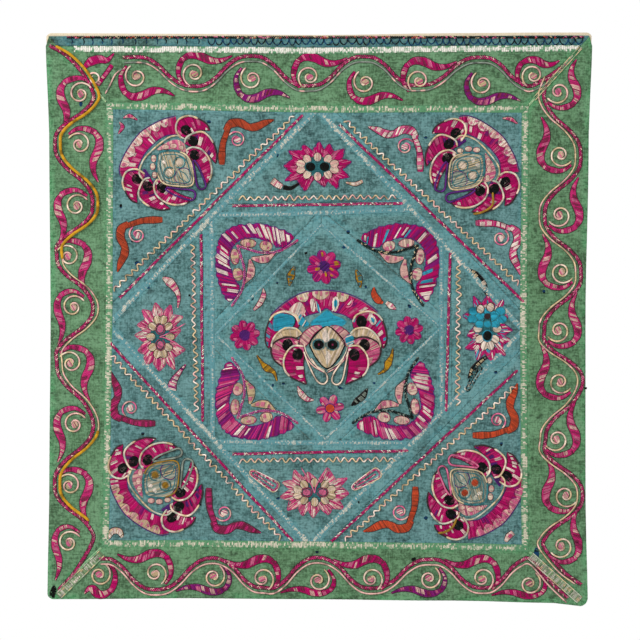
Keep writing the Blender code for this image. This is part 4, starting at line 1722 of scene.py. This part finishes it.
# %% Wings
WINGS = (
    # corner, share across, share up, turn, satin, pale bars, stem, flecks, buds, leaves
    ("tl", 0.361, 0.587, 45, "purple magenta purple", "shell", "pink", "blush rose", "blush straw",
     "blush"),
    ("tr", 0.688, 0.53, -45, "magenta magenta magenta purple", "cyan shell purple", "black", "straw",
     "blush cream", "blush"),
    ("bl", 0.372, 0.392, 135, "rose purple", "shell pink", "pink", "shell rose", "blush straw", "straw"),
    ("br", 0.599, 0.377, -135, "purple rose magenta", "shell shell pink", "black", "grey", "blush cream",
     "blush"),
)
WING_RIM = ((-45, -16), (-42, -5), (-36, 7), (-29, 17), (-19, 26), (-9, 32.5), (0, 34.5))
WING_INNER = ((-45, -17), (-34, -17), (-27, -12), (-26, -5), (-22, 4), (-17, 12), (-9, 18.5), (0, 20.5))
WING_STEM = ((0, 17), (-6, 6), (-11, -3), (-20, -12), (-30, -17.5), (-46, -21))
WING_LEAF = ((-1, -1), (-6, -8), (-11, -12), (-16, -13.5), (-23, -14))
WING_BUDS = (((-9.5, 11.5), 7.6, 3.9, 50), ((-20, -3), 6.0, 4.8, 60))  # place, half sizes, turn


def wing(corner, across, up, turn, satin, pale, stem, flecks, buds, leaves, seed):
    motif = Motif("wing_" + corner, spot("sprig_patch_" + corner, across, up), UNIT, turn, seed=seed)
    for hand in (1, -1):
        rim, inner = smooth(WING_RIM) * (hand, 1), smooth(WING_INNER) * (hand, 1)
        teeth = np.abs(np.sin(np.linspace(0, 9 * np.pi, len(rim)))) * 1.6
        teeth = teeth + motif.chance.uniform(0, 1.2, len(rim))
        rim = sideways(rim, hand * teeth)
        inner = sideways(inner, hand * motif.chance.uniform(-0.7, 0.7, len(inner)))
        motif.edge(rim, "violet", 0.8)
        motif.edge(inner, "violet", 0.8)
        motif.fill(inner, rim, satin, pale, 0.2, row=16, long_bars=True)
        for place, wide, tall, lean in WING_BUDS:
            place = np.array(place) * (hand, 1)
            motif.edge(ellipse(place, wide + 0.4, tall + 0.4, lean * hand), "maroon", 0.7)
            bud = ellipse(place, wide, tall, lean * hand)
            motif.satin(bud, buds, (lean + 90) * hand, pale="pink", often=0.2)
        blade(motif, np.array(WING_LEAF) * (hand, 1), (2, 7, 8, 4, 1), leaves, "pink", 0.2)
        path = smooth(np.array(WING_STEM) * (hand, 1))
        if stem == "black":
            motif.plait(path, "black", flecks, 0.22, 4.6, 2.8, 0.4)
        else:
            # painted shadow: a violet tube lies under the braid and shows along its sides
            motif.edge(path, "violet", 1.9)
            motif.plait(path, stem, flecks, 0.3, 3.6, 2.8, 0.4)
    motif.sew()


for number, row in enumerate(WINGS):
    wing(*row, seed=80 + number)

# %% [markdown]
# ## Small flowers, leaves and coils
#
# The rest fills the gaps, as it does in the real piece: round flowers, hatched and striped leaves, long
# loops, and coils with bracket-shaped leaves round them. Each row of a table is one of them, placed as
# shares of the patch that it is on.

# %% Round flowers
def round_flower(motif, size, count, dye, heart, pale):
    """A ring of petals round a heart."""
    for number in range(count):
        angle = 360 * number / count + 10
        place = polar(np.array([angle]), size * 0.62, size * 0.62)[0]
        motif.edge(ellipse(place, size * 0.42, size * 0.3, angle, 12), "violet", 0.6)
        motif.satin(ellipse(place, size * 0.4, size * 0.27, angle), dye, angle, lift=0.3, pale=pale)
    motif.satin(ellipse((0, 0), size * 0.32, size * 0.3), heart, 40, lift=0.9)
    motif.edge(ellipse((0, 0), size * 0.36, size * 0.34), "violet", 0.7, 0.8)


FLOWERS = (
    # share across, share up, size in board units, petals, dye, heart, pale bars
    (0.129, 0.485, 15, 8, "magenta rose", "violet", "pink"),
    (0.858, 0.509, 14, 8, "rose magenta", "violet", "pink"),
    (0.48, 0.804, 17, 8, "rose purple magenta", "violet", "pink gold"),
    (0.507, 0.143, 14, 6, "pink rose", "orange", "blush"),
)
small = Motif("small_flowers", seed=90)
for number, (across, up, *flower) in enumerate(FLOWERS):
    round_flower(small.board(spot("middle_patch", across, up), seed=91 + number), *flower)
small.sew()

# %% Leaves
LEAVES = {
    # plan piece: share across, share up, turn, dye, pale bars, spine, widths
    "middle_patch": (
        (0.338, 0.762, 75, "gold ochre", "teal", ((-10, 0), (0, 1), (10, 0)), (1, 8, 1)),
        (0.631, 0.752, 105, "gold ochre", "teal", ((-10, 0), (0, -1), (9, 0)), (1, 7, 1)),
        (0.72, 0.663, 0, "orange", "", ((-4, 10), (-4, 3), (0, -3), (5, -6)), (1, 6, 7, 2)),
        (0.765, 0.625, 0, "shell blush", "pink", ((-2, 3), (3, -1), (8, -4)), (3, 6, 1)),
        (0.204, 0.64, 30, "blush pink", "shell", ((-11, -3), (-2, 0), (5, 5), (8, 11)), (2, 5, 5, 1)),
        (0.387, 0.2, -35, "pink blush", "shell", ((-10, 5), (-3, 1), (5, 0), (11, 3)), (1, 6, 5, 1)),
        (0.227, 0.331, -38, "gold ochre", "", ((-16, 4), (-7, 1), (0, 0), (8, 1), (16, -4)),
         (1, 3, 7, 3, 1)),
        (0.765, 0.354, 58, "gold ochre", "", ((-15, 3), (-7, -1), (0, 0), (8, 1), (15, 4)),
         (1, 3, 7, 3, 1)),
        (0.64, 0.19, 25, "black", "grey", ((-11, -3), (-3, -1), (4, 1), (11, 6)), (1, 6, 6, 1)),
        (0.52, 0.165, 70, "orange", "", ((-5, 0), (5, 1)), (4, 4)),
    ),
    "flower_patch_top": (
        (0.296, 0.215, -20, "pink blush", "shell shell rose", ((-6, 2), (0, 0), (6, -1)), (7, 6.5, 5)),
        (0.375, 0.205, 0, "black", "", ((-8, -2), (0, -3), (10, 3)), (4, 3, 1)),
        (0.733, 0.215, 8, "blush straw", "shell", ((-9, 3), (0, 0), (8, 2)), (1, 4, 3)),
    ),
    "flower_patch_left": (
        (0.70, 0.69, -62, "pink blush", "rose shell", ((-16, -5), (-9, -1), (0, 1), (9, 0), (18, -6)),
         (2, 9, 6, 3.5, 1)),
        (0.73, 0.25, -112, "pink purple", "shell", ((-15, 3), (-5, 0), (5, -2), (14, -1)), (1, 4, 7, 10)),
    ),
    "flower_patch_right": (
        (0.40, 0.80, -55, "black", "straw cream", ((-18, -2), (-8, 1), (4, 1), (18, -2)), (1, 6, 7, 1)),
        (0.39, 0.235, 47, "black", "straw grey", ((-16, 0), (-6, 3), (6, 3), (16, 0)), (1, 5, 4, 1)),
    ),
}
number = 0
small = Motif("small_leaves", seed=100)
for node, rows in LEAVES.items():
    for across, up, turn, dye, pale, spine, widths in rows:
        blade(small.board(spot(node, across, up), turn, 101 + number), spine, widths, dye, pale, 0.5)
        number += 1
small.sew()

# %% Loops
CAPSULES = (
    # plan piece, share across, share up, turn, half length, half width, dyes, flecks
    ("flower_patch_bottom", 0.22, 0.70, -32, 15, 4.6, "magenta pink", "shell pink"),
    ("flower_patch_bottom", 0.80, 0.70, 32, 15, 4.6, "magenta pink", "shell pink"),
    ("flower_patch_right", 0.31, 0.16, 62, 14, 3.4, "black", "grey teal"),
)


def capsule(reach, half):
    """A long loop with round ends, one of them a little narrower."""
    end = [(reach, 0), (reach * 0.9, half * 0.8), (reach * 0.6, half)]
    loop = end + [(-x, z) for x, z in end[::-1]] + [(-x, -z) for x, z in end[1:]]
    loop = smooth(loop + [(x, -z) for x, z in end[:0:-1]], closed=True)
    return loop * np.column_stack([np.ones(len(loop)), 0.75 + 0.25 * loop[:, 0] / reach])


small = Motif("small_loops", seed=160)
for number, (node, across, up, turn, reach, half, dye, flecks) in enumerate(CAPSULES):
    board = small.board(spot(node, across, up), turn, 161 + number)
    loop = capsule(reach, half)
    board.plait(loop, dye, flecks, 0.45, 2.6, 2.4)
    board.edge(loop * (1.12, 1.36), "teal" if dye == "black" else "violet", 0.7)
    if dye != "black":
        board.cord(loop * (1.1, 1.34), "shell straw", 0.8, 0.2)
    board.plait([(-reach * 0.7, 0), (reach * 0.7, 0)], dye, flecks, 0.3, 2.4, 2.4)
small.sew()

# %% Bracket leaves
BRACKETS = (
    # corner, coil's share across and up, turn, flip, dye, pale bars
    ("tl", 0.667, 0.831, 0, 1, "rust", ""),
    ("tl", 0.148, 0.357, 90, -1, "rust", ""),
    ("tr", 0.373, 0.814, 0, -1, "pink rose", "shell"),
    ("tr", 0.87, 0.367, -90, 1, "pink rose", "shell"),
    ("bl", 0.134, 0.676, 90, 1, "maroon", "rose"),
    ("bl", 0.629, 0.159, 180, -1, "maroon", "rose"),
    ("br", 0.86, 0.637, -90, -1, "rust orange", ""),
    ("br", 0.37, 0.182, 180, 1, "orange rust", ""),
)
BRACKET_ARM = ((-15, -25), (-15, -16), (-14, -4), (-10, 8), (-8, 15))
BRACKET_BLADE = ((-12, 9), (-6, 16), (3, 17), (11, 13), (19, 13), (28, 17), (37, 20))


def bracket(motif, dye, pale):
    """A leaf bent like a bracket round a small coil."""
    blade(motif, BRACKET_ARM, (5, 7, 5.5, 5, 5), dye, pale, 0.3)
    blade(motif, BRACKET_BLADE, (4, 8.5, 8, 6.5, 8, 6, 1), dye, pale, 0.3)
    ring = coil(9.0, 3.4, 150, -1.2)
    # painted shadow: a black tube, wider than the coil's cord, lies under it
    motif.edge(ring, "black", 1.6)
    motif.cord(ring, "blush pink", 1.3, 0.3)
    motif.satin(ellipse((0.5, 0), 3.6, 3.0), "shell pink", 20)


for number, (corner, across, up, turn, flip, dye, pale) in enumerate(BRACKETS):
    place = spot("corner_patch_" + corner, across, up)
    motif = Motif(f"bracket_{corner}_{number}", place, UNIT, turn, flip, seed=120 + number)
    bracket(motif, dye, pale)
    motif.sew()

# %% Odd bits in the corners
def from_corner(node, across, down):
    """A place counted in board units from the plan piece's upper left corner."""
    low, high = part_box(node)
    return np.array((low.x + across * UNIT, high.z - down * UNIT))


ODD_LEAVES = (
    # plan piece, across, down, turn, spine, widths, dyes, pale bars
    ("border_top", 40, 16, 8, ((-14, -4), (-6, 1), (3, 2), (10, 0), (18, 6)), (3, 9, 8, 5, 1), "magenta",
     "pink"),
    ("border_top", 48, 29, 54, ((-13, 0), (0, 0), (12, 0)), (4, 4, 4), "magenta", "pink blush"),
    ("corner_patch_tl", 16, 14, 0, ((-2, 2), (4, 4), (12, 0)), (1, 4, 1), "blush pink", "rose"),
    ("corner_patch_tl", 12, 18, 0, ((-2, 2), (1, -3), (-3, -10)), (1, 4, 1), "blush pink", "rose"),
    ("corner_patch_bl", 9, 192, 0, ((-6, -3), (-2, 4), (5, 4), (8, -2)), (3, 6, 6, 3), "blush straw",
     "shell"),
    ("corner_patch_br", 182, 189, 50, ((-6, 0), (0, 1), (6, 0)), (3, 6, 5), "shell blush", "magenta"),
    ("corner_patch_tr", 176, 12, -20, ((-8, 0), (0, 2), (8, 0)), (1, 4, 1), "blush pink", "rose"),
)
odd = Motif("odd_bits", seed=170)
for node, across, down, turn, *leaf in ODD_LEAVES:
    blade(odd.board(from_corner(node, across, down), turn, 171 + across), *leaf, 0.5)
board = odd.board(from_corner("border_top", 37, 33), seed=180)
board.cord(coil(6.5, 3.0, 150, -1.1), "blush shell", 1.5, 0.3)
board = odd.board(from_corner("border_top", 57, 36), seed=181)
path = smooth([(-9, -12), (-4, -3), (1, 7), (8, 13)])
# painted shadow: a black tube, wider than the cord, lies under it
board.edge(path, "black", 1.6)
board.cord(path, "grey blush", 1.3, 0.3)
odd.sew()

# %% [markdown]
# ## Heading stitches and ink marks
#
# The heading is turned over the top edge and held by arched overcast stitches in dark thread, a thumb's
# width apart. In the field and border, navy marks remain from the drawn pattern, where it was never covered
# with silk. They are flat dabs on the cloth, so they are laid as very low stitches.

# %% Heading and ink
ARCH = 10.5 * MM
SLANTED_OVER = 250 * MM
low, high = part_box("heading")
top = high.z - 4 * MM
heading = Motif("heading_stitches", seed=140)
fold = np.column_stack([np.linspace(low.x + 30 * MM, high.x - 10 * MM, 80), np.full(80, high.z - 3 * MM)])
heading.plait(fold, "black", "straw rust maroon pink", 0.3, 3.6, 3.4, 0.4)
place = low.x + 35 * MM
while place < high.x - 20 * MM:
    slanted = place < low.x + SLANTED_OVER
    step = ARCH * heading.chance.uniform(0.85, 1.35) * (1.45 if slanted else 1)
    deep = high.z - heading.chance.uniform(13.5, 16) * MM
    if slanted:
        path = [(place, top), (place + 3 * MM, (top + deep) / 2), (place + 1.5 * MM, deep)]
    else:
        shares = ((0, top), (0.12, deep + 4 * MM), (0.5, deep), (0.88, deep + 4 * MM), (1, top))
        path = [(place + share * step, height) for share, height in shares]
    heading.edge(smooth(path), "black navy", 1.0, 0.1)
    place += step
heading.sew()

# %% Ink marks
INK = (
    # plan piece, marks: share across, share up, wide, tall in mm, turn
    ("middle_patch", (
        (0.16, 0.66, 7, 8, 20), (0.57, 0.9, 7, 7, 45), (0.86, 0.62, 6, 7, 45), (0.4, 0.87, 5, 4, 20),
        (0.55, 0.24, 5, 9, 60), (0.3, 0.26, 6, 4, 0),
    )),
    ("sprig_patch_tl", ((0.78, 0.72, 6, 5, 0), (0.62, 0.36, 4, 4, 0))),
    ("sprig_patch_tr", ((0.2, 0.78, 6, 6, 0), (0.35, 0.25, 4, 5, 0))),
    ("sprig_patch_bl", ((0.6, 0.6, 4, 5, 0),)),
    ("sprig_patch_br", ((0.35, 0.6, 5, 4, 0),)),
    ("flower_patch_left", ((0.3, 0.82, 8, 9, 30), (0.42, 0.7, 6, 4, 0), (0.86, 0.66, 4, 4, 0))),
    ("flower_patch_top", ((0.4, 0.78, 7, 5, 0), (0.3, 0.52, 4, 6, 0))),
    ("flower_patch_right", ((0.7, 0.8, 5, 6, 0), (0.62, 0.2, 6, 5, 0))),
    ("flower_patch_bottom", ((0.3, 0.5, 6, 4, 20), (0.76, 0.46, 5, 4, 0))),
    ("corner_patch_tl", (
        (0.52, 0.92, 8, 5, 0), (0.62, 0.87, 6, 5, 0), (0.06, 0.5, 5, 7, 0), (0.12, 0.33, 5, 7, 0),
    )),
    ("corner_patch_tr", ((0.48, 0.86, 6, 4, 0),)),
    ("corner_patch_bl", ((0.2, 0.55, 6, 5, 0), (0.5, 0.2, 8, 4, 0))),
    ("corner_patch_br", ((0.5, 0.15, 7, 5, 0), (0.88, 0.52, 5, 7, 0))),
    ("border_left", ((0.12, 0.011, 12, 18, 0),)),
    ("border_right", ((0.19, 0.088, 10, 22, 0), (0.3, 0.55, 5, 6, 0), (0.9, 0.38, 6, 4, 0))),
    ("border_left", ((0.55, 0.88, 5, 8, 0),)),
    ("border_top", ((0.19, 0.72, 5, 5, 0),)),
    ("border_bottom", ((0.22, 0.2, 6, 4, 0), (0.68, 0.75, 9, 5, 20), (0.5, 0.86, 6, 4, 0))),
)
ink = Motif("ink_marks", seed=150)
for node, marks in INK:
    for across, up, wide, tall, turn in marks:
        board = ink.board(spot(node, across, up), turn, len(ink.points), MM)
        shape = ellipse((0, 0), wide / 2, tall / 2, 0, 9) * board.chance.normal(1, 0.12, (9, 1))
        dye = "black" if wide > 10 and tall < 20 else "navy navy black"
        board.satin(shape, dye, 0, lift=0.05, height=0.25)
ink.sew()
faces = sum(len(made.data.polygons) for made in needlework)
print("embroidered pieces:", len(needlework), "faces:", faces)

# %% The backing's area, at most that of its flat rectangle
min(backing_area, backing_flat[0] * backing_flat[1])
